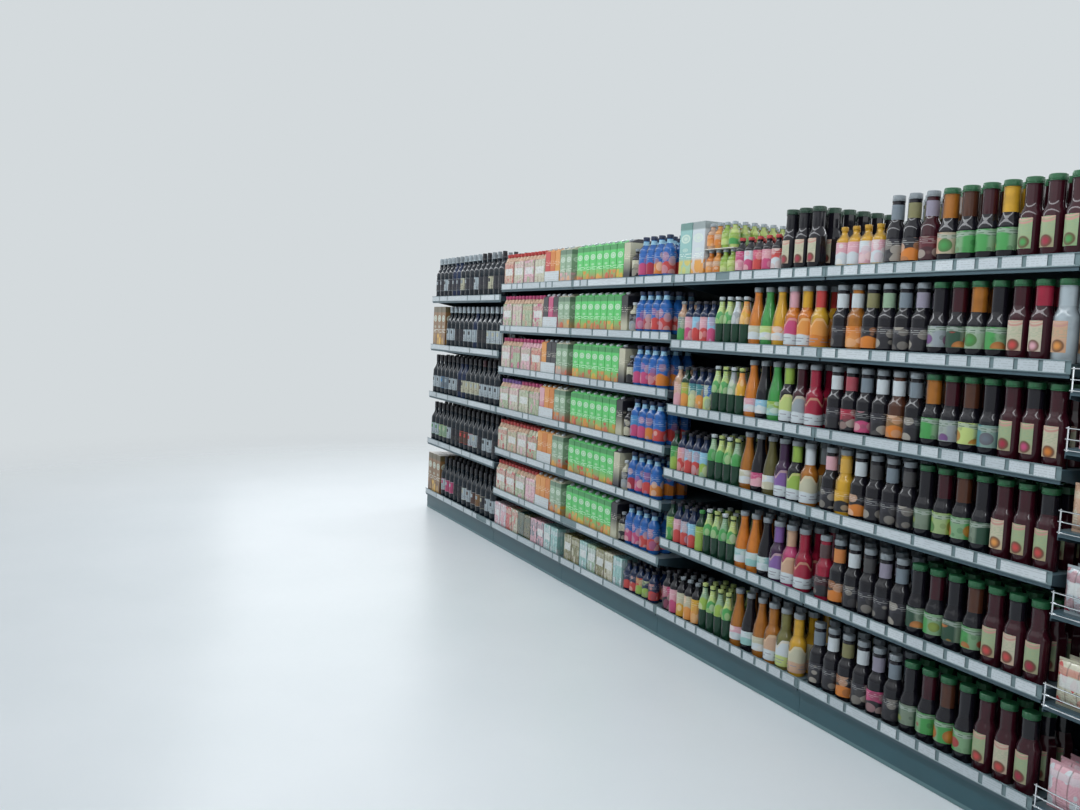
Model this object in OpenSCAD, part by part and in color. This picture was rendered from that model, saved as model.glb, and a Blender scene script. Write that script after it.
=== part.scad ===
// A run of double-sided supermarket gondola shelving, stocked with plain unmarked goods.
// X runs along the aisle with the near end at +X. The photographed front faces -Y.
// Six bays stand between seven slotted posts: wine, two of cartons, two of bottles, packets.
// The rear side mirrors the front. Everything is in millimetres and stands on Z = 0.

/* [Bays] */
// Width of a standard bay between post centres
bay_w = 1000; // [900:1:1300]
// Width of the wine bay between post centres
wine_bay_w = 1333; // [1200:1:1500]
// Spacing of the slots that the brackets hook into
slot_pitch = 33.3; // [32:0.1:36]
// Height of the middle of the lowest price strip
base_level = 134; // [120:1:200]

/* [Posts] */
// Width of a post along the run
post_w = 30; // [26:1:40]
// Depth of a post across the run
post_d = 70; // [50:1:100]
// Height of a post above the floor
post_h = 1780; // [1750:1:2000]
// Wall thickness of a post
post_wall = 2.5; // [1.5:0.1:4]
// Height of one slot
slot_h = 20; // [14:1:26]
// Width of one slot, which takes the hooks of two brackets side by side
slot_w = 9; // [8:0.5:14]

/* [Feet and kick plate] */
// Height of a levelling foot below the base legs
leveller_h = 20; // [12:1:30]
// Radius of the pad of a levelling foot
leveller_r = 19; // [12:1:25]
// Radius of the stem of a levelling foot
leveller_stem_r = 5; // [3:0.5:8]
// Width of a base leg along the run
leg_w = 26; // [20:1:30]
// Height of the nose of a base leg under the base shelf
leg_nose_h = 60; // [40:1:90]
// How far the kick plate stands behind the front of the base shelf
kick_setback = 14; // [8:1:40]
// Height of the pale skirting strip at the foot of the kick plate
skirting_h = 16; // [8:1:30]

/* [Shelves] */
// Depth of a shelf from the post face to its front fold
shelf_d = 470; // [380:1:600]
// Thickness of the shelf sheet
sheet_t = 2; // [1.5:0.1:3]
// Height of the front fold of a shelf
fold_h = 40; // [34:1:46]
// Height of the front fold of a packet shelf
packet_fold_h = 20; // [16:1:30]
// Height of the side and back folds of a shelf
side_fold_h = 22; // [15:1:28]
// Gap between a shelf and each of its brackets
shelf_gap = 0.5; // [0.3:0.1:1]
// Thickness of a bracket plate
bracket_t = 3; // [2:0.1:3.4]
// Gap between the brackets of two bays in one slot
bracket_gap = 1.6; // [1:0.1:2]
// Height of a bracket at the post
bracket_h = 110; // [106:1:130]
// Height of a bracket at its front end
bracket_nose_h = 30; // [26:1:34]

/* [Price strips and fences] */
// Height of a price strip
strip_h = 39; // [30:1:45]
// Thickness of a price strip
strip_t = 5; // [4:0.5:8]
// How far the strip stands above the shelf deck
strip_lift = 11; // [4:1:16]
// Thickness of the strip's back and lips
strip_wall = 1.2; // [0.8:0.1:1.6]
// Height of a wire fence above a packet shelf
fence_h = 62; // [40:1:90]
// Radius of the fence wires
wire_r = 2.2; // [1.5:0.1:3]
// Spacing of the upright fence wires
wire_pitch = 120; // [60:1:160]

/* [Back panels and cap] */
// Depth of the folded edges of a back panel
panel_fold = 12; // [8:1:16]
// Sheet thickness of a back panel
panel_t = 1.5; // [1:0.1:3]
// Number of back panels one above the other
panel_rows = 4; // [2:1:6]
// Gap around each back panel
panel_gap = 1; // [0.5:0.1:2]
// Height of the cap rail along the top of the panels
cap_rail_h = 30; // [20:1:40]

/* [Goods on the shelves] */
// Gap between the front of a shelf and the goods on it
goods_setback = 8; // [4:1:20]
// Gap from a post centre to the first pack of a row
row_start = 18; // [14:1:24]
// Least gap from the last pack of a row to the next post centre
row_end = 12; // [8:1:24]
// Gap between packed cartons and between large bottles
goods_gap = 4; // [2:1:6]
// Gap between packets and between wine bottles
loose_gap = 11; // [6:1:14]

/* [Bottles] */
// Radius of a large juice bottle
juice_r = 35; // [30:0.5:36]
// Height of a large juice bottle
juice_h = 242; // [200:1:246]
// Radius of the neck of a nectar bottle
juice_neck_r = 21; // [15:0.5:24]
// Radius of the cap of a nectar bottle
juice_cap_r = 22; // [17:0.5:26]
// Radius of the wide neck of a fruit or tall-label bottle
wide_neck_r = 25; // [22:0.5:28]
// Radius of the wide cap of a fruit or tall-label bottle
wide_cap_r = 26; // [23:0.5:30]
// Height of the cap of a juice bottle
juice_cap_h = 20; // [14:1:26]
// Radius of the neck of a slim bottle
slim_neck_r = 16; // [12:0.5:19]
// Radius of the cap of a slim bottle
slim_cap_r = 19; // [15:0.5:22]
// Radius of a soda bottle
soda_r = 26; // [20:0.5:26.5]
// Height of a soda bottle
soda_h = 205; // [170:1:220]
// Radius of a small or squash bottle
small_r = 27; // [20:0.5:28]
// Height of a small bottle
small_h = 152; // [120:1:180]
// Height of a squash bottle
squash_h = 188; // [160:1:205]
// Radius of a miniature bottle
mini_r = 24; // [18:0.5:26]
// Height of a miniature bottle
mini_h = 112; // [90:1:120]
// Radius of the neck of a small, soda or miniature bottle
small_neck_r = 11; // [9:0.5:14]
// Radius of the cap of a small, soda or miniature bottle
small_cap_r = 13; // [11:0.5:16]
// Height of the cap of a small, soda or miniature bottle
small_cap_h = 14; // [10:1:18]
// Radius of a blue drink bottle
drink_r = 33; // [28:0.5:35]
// Height of a blue drink bottle
drink_h = 205; // [180:1:212]
// Radius of a white tub
tub_r = 44; // [35:0.5:50]
// Height of a white tub
tub_h = 225; // [180:1:240]
// Radius of the neck of a drink bottle or tub
drink_neck_r = 14; // [12:0.5:18]
// Radius of the cap of a drink bottle or tub
drink_cap_r = 17; // [15:0.5:22]
// Height of the cap of a drink bottle or tub
drink_cap_h = 18; // [14:1:24]
// Radius of a wine bottle
wine_r = 37.5; // [34:0.5:40]
// Height of a wine bottle
wine_h = 298; // [280:1:305]
// Radius of the neck of a wine bottle
wine_neck_r = 14; // [12:0.5:16]
// Radius of the capsule over a wine bottle's neck
wine_cap_r = 15; // [13:0.5:18]
// Height of the capsule over a wine bottle's neck
wine_cap_h = 45; // [30:1:60]

/* [Cartons and packets] */
// Width of a drink carton
brick_w = 68; // [55:1:70]
// Depth of a drink carton
brick_d = 88; // [70:1:100]
// Height of a drink carton
brick_h = 204; // [180:1:212]
// Height of the screw cap of a carton
brick_cap_h = 9; // [5:0.5:12]
// Width of a narrow carton
narrow_w = 60; // [50:1:66]
// Width of a short pack
short_w = 88; // [70:1:100]
// Depth of a short pack
short_d = 60; // [40:1:90]
// Height of a short pack
short_h = 150; // [120:1:190]
// Width and depth of a wine gift box
gift_w = 84; // [76:1:96]
// Width and depth of a pack on the top shelf
pack_w = 94; // [80:1:110]
// Width of a wrapped multipack
multi_w = 146; // [120:1:148]
// Depth of a wrapped multipack
multi_d = 96; // [80:1:140]
// Height of a wrapped multipack
multi_h = 198; // [160:1:208]
// Radius of the upright edges of a wrapped multipack
multi_edge_r = 8; // [4:1:20]
// Width of a packet
packet_w = 108; // [90:1:116]
// Height of a packet
packet_h = 138; // [110:1:142]
// Thickness of a packet at its middle
packet_t = 40; // [30:1:50]
// Thickness of the card tray between two tiers
tier_t = 3; // [2:0.5:5]

/* [Hidden] */

round_fn = 24;
wire_fn = 6;
eps = 1;

// Bays from the far end to the near end, and the slots counted up from the base shelf.
bay_kinds = ["wine", "carton", "carton", "bottle", "bottle", "packet"];
bays = [0 : len(bay_kinds) - 1];
wine_slots = [0, 12, 23, 34, 45];
carton_slots = [0, 7, 15, 23, 31, 39, 47];
bottle_slots = [0, 10, 20, 29, 38, 47];
packet_slots = [0, 9, 17, 24, 31, 36, 47];

function bay_width(i) = bay_kinds[i] == "wine" ? wine_bay_w : bay_w;
function width_before(i) = i == 0 ? 0 : width_before(i - 1) + bay_width(i - 1);
run_w = width_before(len(bay_kinds));
function post_x(i) = width_before(i) - run_w / 2;
function bay_mid(i) = post_x(i) + bay_width(i) / 2;
function slots(i) =
    bay_kinds[i] == "wine" ? wine_slots :
    bay_kinds[i] == "carton" ? carton_slots :
    bay_kinds[i] == "bottle" ? bottle_slots : packet_slots;
function top(i) = len(slots(i)) - 1;
function deck_z(i, k) =
    base_level + slots(i)[k] * slot_pitch + strip_h / 2 - strip_lift;

// Across the run: the post face, then the shelf, then the price strip.
post_face = post_d / 2;
shelf_front = post_face + shelf_d;
bracket_x = (bracket_gap + bracket_t) / 2;
shelf_end = bracket_x + bracket_t / 2 + shelf_gap;
base_deck_z = deck_z(0, 0);
leg_top = base_deck_z - fold_h;

// Rows of goods from far to near: kind and facings. The last kind fills the rest of its row.
wine_row = [["wine", 0]];
wine_gift_row = [["gift", 3], ["wine", 0]];
carton_row_far = [["multi", 4], ["narrow", 3], ["brick", 0]];
carton_row_near = [["brick", 7], ["narrow", 1], ["small", 1], ["drink", 0]];
carton_base_far = [["short", 0]];
carton_base_near = [["short", 7], ["small", 0]];
bottle_row_far = [["squash", 5], ["soda", 4], ["slim", 3], ["nectar", 0]];
bottle_row_near = [["nectar", 6], ["fruit", 4], ["tall", 0]];
bottle_top_far = [["pack", 2], ["mini", 4], ["small", 5], ["tall", 0]];
bottle_top_near = [["small", 4], ["nectar", 3], ["fruit", 4], ["tall", 0]];
packet_row = [["packet", 0]];
packet_tub_row = [["packet", 4], ["tub", 0]];

function stock(i, k) =
    bay_kinds[i] == "wine" ? (k == 0 || k == 3 ? wine_gift_row : wine_row) :
    i == 1 ? (k == 0 ? carton_base_far : carton_row_far) :
    i == 2 ? (k == 0 ? carton_base_near : carton_row_near) :
    i == 3 ? (k == top(i) ? bottle_top_far : bottle_row_far) :
    i == 4 ? (k == top(i) ? bottle_top_near : bottle_row_near) :
    k == 5 ? packet_tub_row : packet_row;

// Width of one pack of a kind, and the spacing of its facings.
function pack_width(kind) =
    kind == "wine" ? 2 * wine_r :
    kind == "gift" ? gift_w :
    kind == "multi" ? multi_w :
    kind == "narrow" ? narrow_w :
    kind == "brick" ? brick_w :
    kind == "short" ? short_w :
    kind == "small" || kind == "squash" ? 2 * small_r :
    kind == "soda" ? 2 * soda_r :
    kind == "mini" ? 2 * mini_r :
    kind == "drink" ? 2 * drink_r :
    kind == "tub" ? 2 * tub_r :
    kind == "pack" ? pack_w :
    kind == "packet" ? packet_w : 2 * juice_r;
function gap(kind) = kind == "wine" || kind == "packet" || kind == "tub" ? loose_gap : goods_gap;
function pitch(kind) = pack_width(kind) + gap(kind);

// Where a kind starts in its row, and how many facings it has there.
function before(row, n) = n == 0 ? 0 : before(row, n - 1) + row[n - 1][1] * pitch(row[n - 1][0]);
function room(i, row, n) = bay_width(i) - row_start - row_end - before(row, n);
function count(i, row, n) =
    row[n][1] > 0 ? row[n][1] :
    floor((room(i, row, n) + gap(row[n][0]) / 2) / pitch(row[n][0]));

// Layout helpers

module both_sides() {
    children();
    mirror([0, 1, 0]) children();
}

// Puts its child on every facing of one kind; the child's front is at y = 0.
module facings(kind) {
    both_sides()
        for (i = bays, k = [0 : top(i)]) {
            row = stock(i, k);
            for (n = [0 : len(row) - 1])
                if (row[n][0] == kind)
                    for (j = [0 : count(i, row, n) - 1])
                        translate([
                            post_x(i) + row_start + before(row, n) + (j + 0.5) * pitch(kind),
                            goods_setback - shelf_front,
                            deck_z(i, k)])
                            children();
        }
}

// Posts, legs and feet

module slot_field() {
    for (z = [base_level : slot_pitch : post_h - 2 * slot_pitch])
        translate([-slot_w / 2, z])
            square([slot_w, slot_h]);
}

module post() {
    difference() {
        translate([0, 0, leveller_h])
            linear_extrude(post_h - leveller_h)
                difference() {
                    square([post_w, post_d], center = true);
                    square([post_w - 2 * post_wall, post_d - 2 * post_wall], center = true);
                }
        translate([0, post_face + eps, 0])
            rotate([90, 0, 0])
                linear_extrude(post_d + 2 * eps) slot_field();
    }
}

module posts() {
    color("#2c3439")
        for (i = [0 : len(bay_kinds)])
            translate([post_x(i), 0, 0]) post();
}

// Side view of a base leg: deep at the post, with a stepped nose that clears the kick plate.
module leg_outline() {
    leg_l = shelf_d - kick_setback - 2 * sheet_t;
    polygon([
        [0, leveller_h], [leg_l - leg_nose_h, leveller_h], [leg_l, leg_top - leg_nose_h],
        [leg_l, leg_top], [0, leg_top]]);
}

module base_legs() {
    color("#2c3439")
        both_sides()
            for (i = [0 : len(bay_kinds)])
                translate([post_x(i) + leg_w / 2, -post_face, 0])
                    rotate([90, 0, -90])
                        linear_extrude(leg_w) leg_outline();
}

module leveller() {
    cylinder(h = leveller_h / 2, r = leveller_r, $fn = round_fn);
    cylinder(h = leveller_h, r = leveller_stem_r, $fn = round_fn);
}

module levelling_feet() {
    foot_reach = post_face + shelf_d - kick_setback - leg_nose_h - 2 * leveller_r;
    color("#17191b")
        both_sides()
            for (i = [0 : len(bay_kinds)])
                for (y = [-post_face - leveller_r - eps, -foot_reach])
                    translate([post_x(i), y, 0]) leveller();
}

// Kick plate: an upright sheet with a fold along its top and foot.
module kick_plates() {
    kick_y = kick_setback - shelf_front;
    color("#24343b")
        both_sides()
            for (i = bays)
                translate([post_x(i) + panel_gap, kick_y, 0])
                    rotate([90, 0, 90])
                        linear_extrude(bay_width(i) - 2 * panel_gap)
                            difference() {
                                translate([0, skirting_h])
                                    square([panel_fold, leg_top - skirting_h]);
                                translate([sheet_t, skirting_h + sheet_t])
                                    square([panel_fold, leg_top - skirting_h - 2 * sheet_t]);
                            }
}

module skirting_strips() {
    strip_y = kick_setback - shelf_front;
    color("#7c8a8e")
        both_sides()
            for (i = bays)
                translate([post_x(i) + panel_gap, strip_y, 1])
                    cube([bay_width(i) - 2 * panel_gap, sheet_t, skirting_h - 1]);
}

// Back panels and cap rails

module panel_outline(w) {
    difference() {
        square([w, panel_fold]);
        translate([panel_t, panel_t]) square([w - 2 * panel_t, panel_fold]);
    }
}

module back_panels() {
    low = base_deck_z;
    pitch = (post_h - cap_rail_h - low) / panel_rows;
    color("#2a363b")
        both_sides()
            for (i = bays, row = [0 : panel_rows - 1]) {
                w = bay_width(i) - post_w - 2 * panel_gap;
                translate([bay_mid(i) - w / 2, -post_face, low + row * pitch + panel_gap])
                    linear_extrude(pitch - panel_gap) panel_outline(w);
            }
}

module cap_rails() {
    color("#2c3439")
        for (i = bays) {
            w = bay_width(i) - post_w - 2 * panel_gap;
            translate([bay_mid(i) - w / 2, 0, post_h - cap_rail_h + panel_gap])
                rotate([90, 0, 90])
                    linear_extrude(w)
                        difference() {
                            translate([-post_face, 0])
                                square([post_d, cap_rail_h - panel_gap]);
                            translate([sheet_t - post_face, -eps])
                                square([post_d - 2 * sheet_t, cap_rail_h - panel_gap - sheet_t + eps]);
                        }
        }
}

// Shelves: deck, front fold with a return lip, back fold, a stiffening channel, side folds

module shelf_outline(fold) {
    lip = 14;
    channel_w = 60;
    channel_h = 12;
    translate([0, -sheet_t]) square([shelf_d, sheet_t]);
    translate([0, -fold]) square([sheet_t, fold]);
    translate([0, -fold]) square([lip, sheet_t]);
    translate([shelf_d - sheet_t, -side_fold_h]) square([sheet_t, side_fold_h]);
    translate([(shelf_d - channel_w) / 2, -sheet_t - channel_h])
        difference() {
            square([channel_w, channel_h + sheet_t / 2]);
            translate([sheet_t, sheet_t])
                square([channel_w - 2 * sheet_t, channel_h - sheet_t]);
        }
}

module shelf(w, fold) {
    rotate([90, 0, 90])
        linear_extrude(w) shelf_outline(fold);
    for (x = [0, w - sheet_t])
        translate([x, 0, -side_fold_h])
            cube([sheet_t, shelf_d, side_fold_h]);
}

module shelf_at(i, k, fold) {
    translate([post_x(i) + shelf_end, -shelf_front, deck_z(i, k)])
        shelf(bay_width(i) - 2 * shelf_end, fold);
}

module shelves(i, fold) {
    color("#39474d")
        both_sides()
            for (k = [1 : top(i)])
                shelf_at(i, k, fold);
}

module base_shelves() {
    color("#39474d")
        both_sides()
            for (i = bays)
                shelf_at(i, 0, fold_h);
}

module wine_shelves() {
    shelves(0, fold_h);
}

module carton_shelves_far() {
    shelves(1, fold_h);
}

module carton_shelves_near() {
    shelves(2, fold_h);
}

module bottle_shelves_far() {
    shelves(3, fold_h);
}

module bottle_shelves_near() {
    shelves(4, fold_h);
}

module packet_shelves() {
    shelves(5, packet_fold_h);
}

// Cantilever brackets: two hooks in the post's slots, a ledge for the shelf's side fold

bracket_toe = 14;
ledge_w = 12;
ledge_front = 10;
ledge_back = 30;

module bracket_outline() {
    hook_l = post_wall + 3;
    hook_h = slot_h - 6;
    reach = shelf_d - sheet_t - shelf_gap;
    polygon([
        [0, 0], [0, -bracket_h], [bracket_toe, -bracket_h], [reach, -bracket_nose_h],
        [reach, -sheet_t],
        [reach, 0]]);
    for (n = [1, 3])
        translate([-hook_l, slot_bottom_below_deck(n)])
            square([hook_l + eps, hook_h]);
}

// Slots sit one pitch apart from the base level, so a deck is always the same height over one.
function slot_bottom_below_deck(n) =
    -(strip_h / 2 - strip_lift) - n * slot_pitch + 4;

module bracket(i, k) {
    for (end = [0, 1]) {
        x = end == 0 ? post_x(i) + bracket_x : post_x(i + 1) - bracket_x;
        side = end == 0 ? 1 : -1;
        translate([x, -post_face, deck_z(i, k)]) {
            translate([bracket_t / 2, 0, 0])
                rotate([90, 0, -90])
                    linear_extrude(bracket_t) bracket_outline();
            translate([side > 0 ? 0 : -ledge_w, ledge_back - shelf_d, -side_fold_h - sheet_t])
                cube([ledge_w, shelf_d - ledge_back - ledge_front, sheet_t]);
        }
    }
}

module brackets(kind) {
    color("#2c3439")
        both_sides()
            for (i = bays)
                if (bay_kinds[i] == kind)
                    for (k = [1 : top(i)])
                        bracket(i, k);
}

module wine_brackets() {
    brackets("wine");
}

module carton_brackets() {
    brackets("carton");
}

module bottle_brackets() {
    brackets("bottle");
}

module packet_brackets() {
    brackets("packet");
}

// Price strips: a shallow channel with lips that hold the tickets

module strip_outline() {
    difference() {
        square([strip_t, strip_h]);
        translate([-eps, strip_wall])
            square([strip_t - strip_wall + eps, strip_h - 2 * strip_wall]);
    }
    for (z = [0, strip_h - 3])
        translate([0, z]) square([strip_wall, 3]);
}

module strip_at(i, k) {
    translate([post_x(i) + panel_gap, -shelf_front - strip_t, deck_z(i, k) + strip_lift - strip_h])
        rotate([90, 0, 90])
            linear_extrude(bay_width(i) - 2 * panel_gap) strip_outline();
}

module price_strips(kind) {
    color("#aebabb")
        both_sides()
            for (i = bays)
                if (bay_kinds[i] == kind)
                    for (k = [0 : top(i)])
                        strip_at(i, k);
}

module wine_price_strips() {
    price_strips("wine");
}

module carton_price_strips() {
    price_strips("carton");
}

module bottle_price_strips() {
    price_strips("bottle");
}

// Wire fence along the front of each packet shelf, with its foot rail clipped to the fold

module fence(w) {
    count = floor(w / wire_pitch);
    weld = 1.2;
    for (z = [0, fence_h / 2, fence_h])
        translate([0, -weld * wire_r, z])
            rotate([0, 90, 0]) cylinder(h = w, r = wire_r, $fn = wire_fn);
    for (n = [0 : count])
        translate([2 * wire_r + n * (w - 4 * wire_r) / count, 0, -2 * wire_r])
            cylinder(h = fence_h + 4 * wire_r, r = wire_r, $fn = wire_fn);
}

module wire_fences() {
    fence_drop = 6;
    i = len(bay_kinds) - 1;
    color("#c9d2d4")
        both_sides()
            for (k = [0 : top(i)])
                translate([post_x(i) + shelf_end, -shelf_front - wire_r, deck_z(i, k) - fence_drop])
                    fence(bay_width(i) - 2 * shelf_end);
}

// Goods

// Half outline of a bottle: foot, body, curved shoulder, straight neck and screw cap.
// The body ends and the neck starts at shares of the whole height.
module bottle(r, h, body, neck, neck_r, cap_r, cap_h) {
    foot = r * 0.12;
    body_z = h * body;
    neck_z = h * neck;
    steps = 4;
    translate([0, r, 0])
        rotate_extrude($fn = round_fn)
            polygon(concat(
                [[0, 0], [r - foot, 0], [r, foot]],
                [for (n = [0 : steps])
                    [neck_r + (r - neck_r) * (1 + cos(180 * n / steps)) / 2,
                        body_z + (neck_z - body_z) * n / steps]],
                [[neck_r, h - cap_h], [cap_r, h - cap_h], [cap_r, h], [0, h]]));
}

module wine_bottles() {
    color("#1d2a20")
        facings("wine")
            bottle(wine_r, wine_h, 0.58, 0.79, wine_neck_r, wine_cap_r, wine_cap_h);
}

module nectar_bottles() {
    color("#e39a2c")
        facings("nectar")
            bottle(juice_r, juice_h, 0.5, 0.66, juice_neck_r, juice_cap_r, juice_cap_h);
}

module fruit_bottles() {
    color("#3d2a30")
        facings("fruit")
            bottle(juice_r, juice_h, 0.43, 0.6, wide_neck_r, wide_cap_r, juice_cap_h);
}

module tall_label_bottles() {
    color("#8c2f36")
        facings("tall")
            bottle(juice_r, juice_h, 0.53, 0.68, wide_neck_r, wide_cap_r, juice_cap_h);
}

module slim_bottles() {
    color("#e0832c")
        facings("slim")
            bottle(juice_r, juice_h, 0.36, 0.86, slim_neck_r, slim_cap_r, juice_cap_h);
}

module soda_bottles() {
    color("#1f7a45")
        facings("soda")
            bottle(soda_r, soda_h, 0.52, 0.86, small_neck_r, small_cap_r, small_cap_h);
}

// Small bottles, and the taller squash bottles of the same glass.
module small_bottles() {
    color("#c24a4f") {
        facings("small")
            bottle(small_r, small_h, 0.66, 0.85, small_neck_r, small_cap_r, small_cap_h);
        facings("squash")
            bottle(small_r, squash_h, 0.66, 0.86, small_neck_r, small_cap_r, small_cap_h);
    }
}

module drink_bottles() {
    color("#1d5fae")
        facings("drink")
            bottle(drink_r, drink_h, 0.66, 0.85, drink_neck_r, drink_cap_r, drink_cap_h);
}

module tubs() {
    color("#e6ebee")
        facings("tub")
            bottle(tub_r, tub_h, 0.72, 0.86, drink_neck_r, drink_cap_r, drink_cap_h);
}

// Two tiers of miniature bottles with a card tray between them.
module miniature_bottles() {
    color("#d4b440")
        facings("mini")
            for (tier = [0, 1])
                translate([0, 0, tier * (mini_h + tier_t)])
                    bottle(mini_r, mini_h, 0.6, 0.81, small_neck_r, small_cap_r, small_cap_h);
}

module tier_trays() {
    i = 3;
    row = stock(i, top(i));
    w = row[1][1] * pitch("mini");
    x = post_x(i) + row_start + before(row, 1);
    color("#d8d6cc")
        both_sides()
            translate([x, goods_setback - shelf_front, deck_z(i, top(i)) + mini_h])
                cube([w, 2 * mini_r, tier_t]);
}

// A drink carton with a sloping shoulder at the front and a screw cap on the slope.
module carton(w, d, h) {
    slope_d = d * 0.5;
    slope_h = d * 0.22;
    cap_r = w * 0.2;
    translate([-w / 2, 0, 0])
        rotate([90, 0, 90])
            linear_extrude(w)
                polygon([[0, 0], [d, 0], [d, h], [slope_d, h], [0, h - slope_h]]);
    translate([0, slope_d / 2, h - slope_h / 2])
        rotate([atan(slope_h / slope_d), 0, 0])
            translate([0, 0, -eps])
                cylinder(h = brick_cap_h + eps, r = cap_r, $fn = round_fn);
}

module drink_cartons() {
    color("#3fae4c")
        facings("brick") carton(brick_w, brick_d, brick_h);
}

module narrow_cartons() {
    color("#e8a24a")
        facings("narrow") carton(narrow_w, brick_d, brick_h);
}

module short_packs() {
    color("#cfe0a8")
        facings("short")
            translate([-short_w / 2, 0, 0]) cube([short_w, short_d, short_h]);
}

module gift_boxes() {
    color("#a8793f")
        facings("gift")
            translate([-gift_w / 2, 0, 0]) cube([gift_w, gift_w, wine_h]);
}

module top_packs() {
    color("#3a9c8f")
        facings("pack")
            translate([-pack_w / 2, 0, 0]) cube([pack_w, pack_w, juice_h]);
}

// A film-wrapped multipack: rounded upright edges.
module multipacks() {
    color("#e2cdb4")
        facings("multi")
            linear_extrude(multi_h)
                translate([-multi_w / 2, 0])
                    union() {
                        translate([multi_edge_r, 0])
                            square([multi_w - 2 * multi_edge_r, multi_d]);
                        translate([0, multi_edge_r])
                            square([multi_w, multi_d - 2 * multi_edge_r]);
                        for (x = [multi_edge_r, multi_w - multi_edge_r],
                             y = [multi_edge_r, multi_d - multi_edge_r])
                            translate([x, y]) circle(r = multi_edge_r, $fn = round_fn);
                    }
}

// A pillow packet: a lens in side view, standing on its bottom seam.
module packets() {
    arc_r = (packet_h * packet_h / 4 + packet_t * packet_t / 4) / packet_t;
    color("#e6a6bd")
        facings("packet")
            translate([-packet_w / 2, packet_t / 2, packet_h / 2])
                rotate([90, 0, 90])
                    linear_extrude(packet_w)
                        intersection() {
                            translate([arc_r - packet_t / 2, 0]) circle(r = arc_r, $fn = 96);
                            translate([packet_t / 2 - arc_r, 0]) circle(r = arc_r, $fn = 96);
                        }
}

posts();
base_legs();
levelling_feet();
kick_plates();
skirting_strips();
back_panels();
cap_rails();
base_shelves();
wine_shelves();
carton_shelves_far();
carton_shelves_near();
bottle_shelves_far();
bottle_shelves_near();
packet_shelves();
wine_brackets();
carton_brackets();
bottle_brackets();
packet_brackets();
wine_price_strips();
carton_price_strips();
bottle_price_strips();
wire_fences();
wine_bottles();
gift_boxes();
multipacks();
narrow_cartons();
drink_cartons();
short_packs();
drink_bottles();
small_bottles();
soda_bottles();
slim_bottles();
nectar_bottles();
fruit_bottles();
tall_label_bottles();
top_packs();
miniature_bottles();
tier_trays();
packets();
tubs();
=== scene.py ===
"""Looks of a stocked, double-sided gondola shelving run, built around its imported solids.

Units are metres. +X points along the run to its near end, and the front faces -Y.
"""

import math
import random

import bpy
import numpy as np
from mathutils import Matrix, Vector


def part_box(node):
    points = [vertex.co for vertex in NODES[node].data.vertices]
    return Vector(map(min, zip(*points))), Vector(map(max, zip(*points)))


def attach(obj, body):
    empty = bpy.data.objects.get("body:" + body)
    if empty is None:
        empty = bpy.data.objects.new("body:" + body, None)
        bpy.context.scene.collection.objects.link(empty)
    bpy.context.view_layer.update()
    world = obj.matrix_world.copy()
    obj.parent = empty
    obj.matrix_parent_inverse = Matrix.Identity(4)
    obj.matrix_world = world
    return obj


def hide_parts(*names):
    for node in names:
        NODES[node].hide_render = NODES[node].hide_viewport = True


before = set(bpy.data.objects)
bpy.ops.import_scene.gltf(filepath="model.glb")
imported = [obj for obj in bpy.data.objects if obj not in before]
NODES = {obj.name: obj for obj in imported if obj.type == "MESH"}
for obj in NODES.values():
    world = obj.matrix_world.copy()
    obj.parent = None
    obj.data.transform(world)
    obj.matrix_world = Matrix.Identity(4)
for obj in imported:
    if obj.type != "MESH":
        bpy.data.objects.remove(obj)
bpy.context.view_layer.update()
BODY = "root"

# Camera, fitted to the shelf fronts and bay joints of the photograph (1080 x 810 pixels)
PHOTO_WIDTH = 1080
FOCAL_PIXELS = 954.1
SENSOR_WIDTH = 36
CAMERA_PAST_NEAR_POST = 0.743
CAMERA_FROM_STRIPS = 2.488
CAMERA_HEIGHT = 1.442
CAMERA_YAW = math.radians(26.068)
CAMERA_PITCH = math.radians(4.586)
CAMERA_ROLL = math.radians(2.564)
CAMERA_SEES_TO = 200

# Sizes shared with the solids
POST_WIDTH = 0.030
POST_FACE = 0.035
STRIP_HEIGHT = 0.039
WINE_TOP = {"neck_r": 0.014, "cap_r": 0.015, "cap_h": 0.045}
JUICE_TOP = {"neck_r": 0.021, "cap_r": 0.022, "cap_h": 0.020}
WIDE_TOP = {"neck_r": 0.025, "cap_r": 0.026, "cap_h": 0.020}
SLIM_TOP = {"neck_r": 0.016, "cap_r": 0.019, "cap_h": 0.020}
SMALL_TOP = {"neck_r": 0.011, "cap_r": 0.013, "cap_h": 0.014}
DRINK_TOP = {"neck_r": 0.014, "cap_r": 0.017, "cap_h": 0.018}
JUICE_BOTTLE = {"radius": 0.035, "height": 0.242}

# How finely the goods are made
FRONT_SIDES = 16
BEHIND_SIDES = 8
CAP_SIDES = 16, 6
FILM_BEVEL = 0.006
ROWS_BEHIND = 2
TOP_SHELF_ABOVE = 1.6
OPEN_END_FROM = 2.85
PAPER = 0.0005
SHARP_OVER = math.radians(34)

# Corners that round to one point of this grid, in steps per metre, are one corner
WELD_GRID = 2e4
# Places of the print that plain ends take their colour from
PRINT_TOP, PRINT_FOOT = (0.03, 0.985), (0.03, 0.01)

chance = random.Random(4127)


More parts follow.
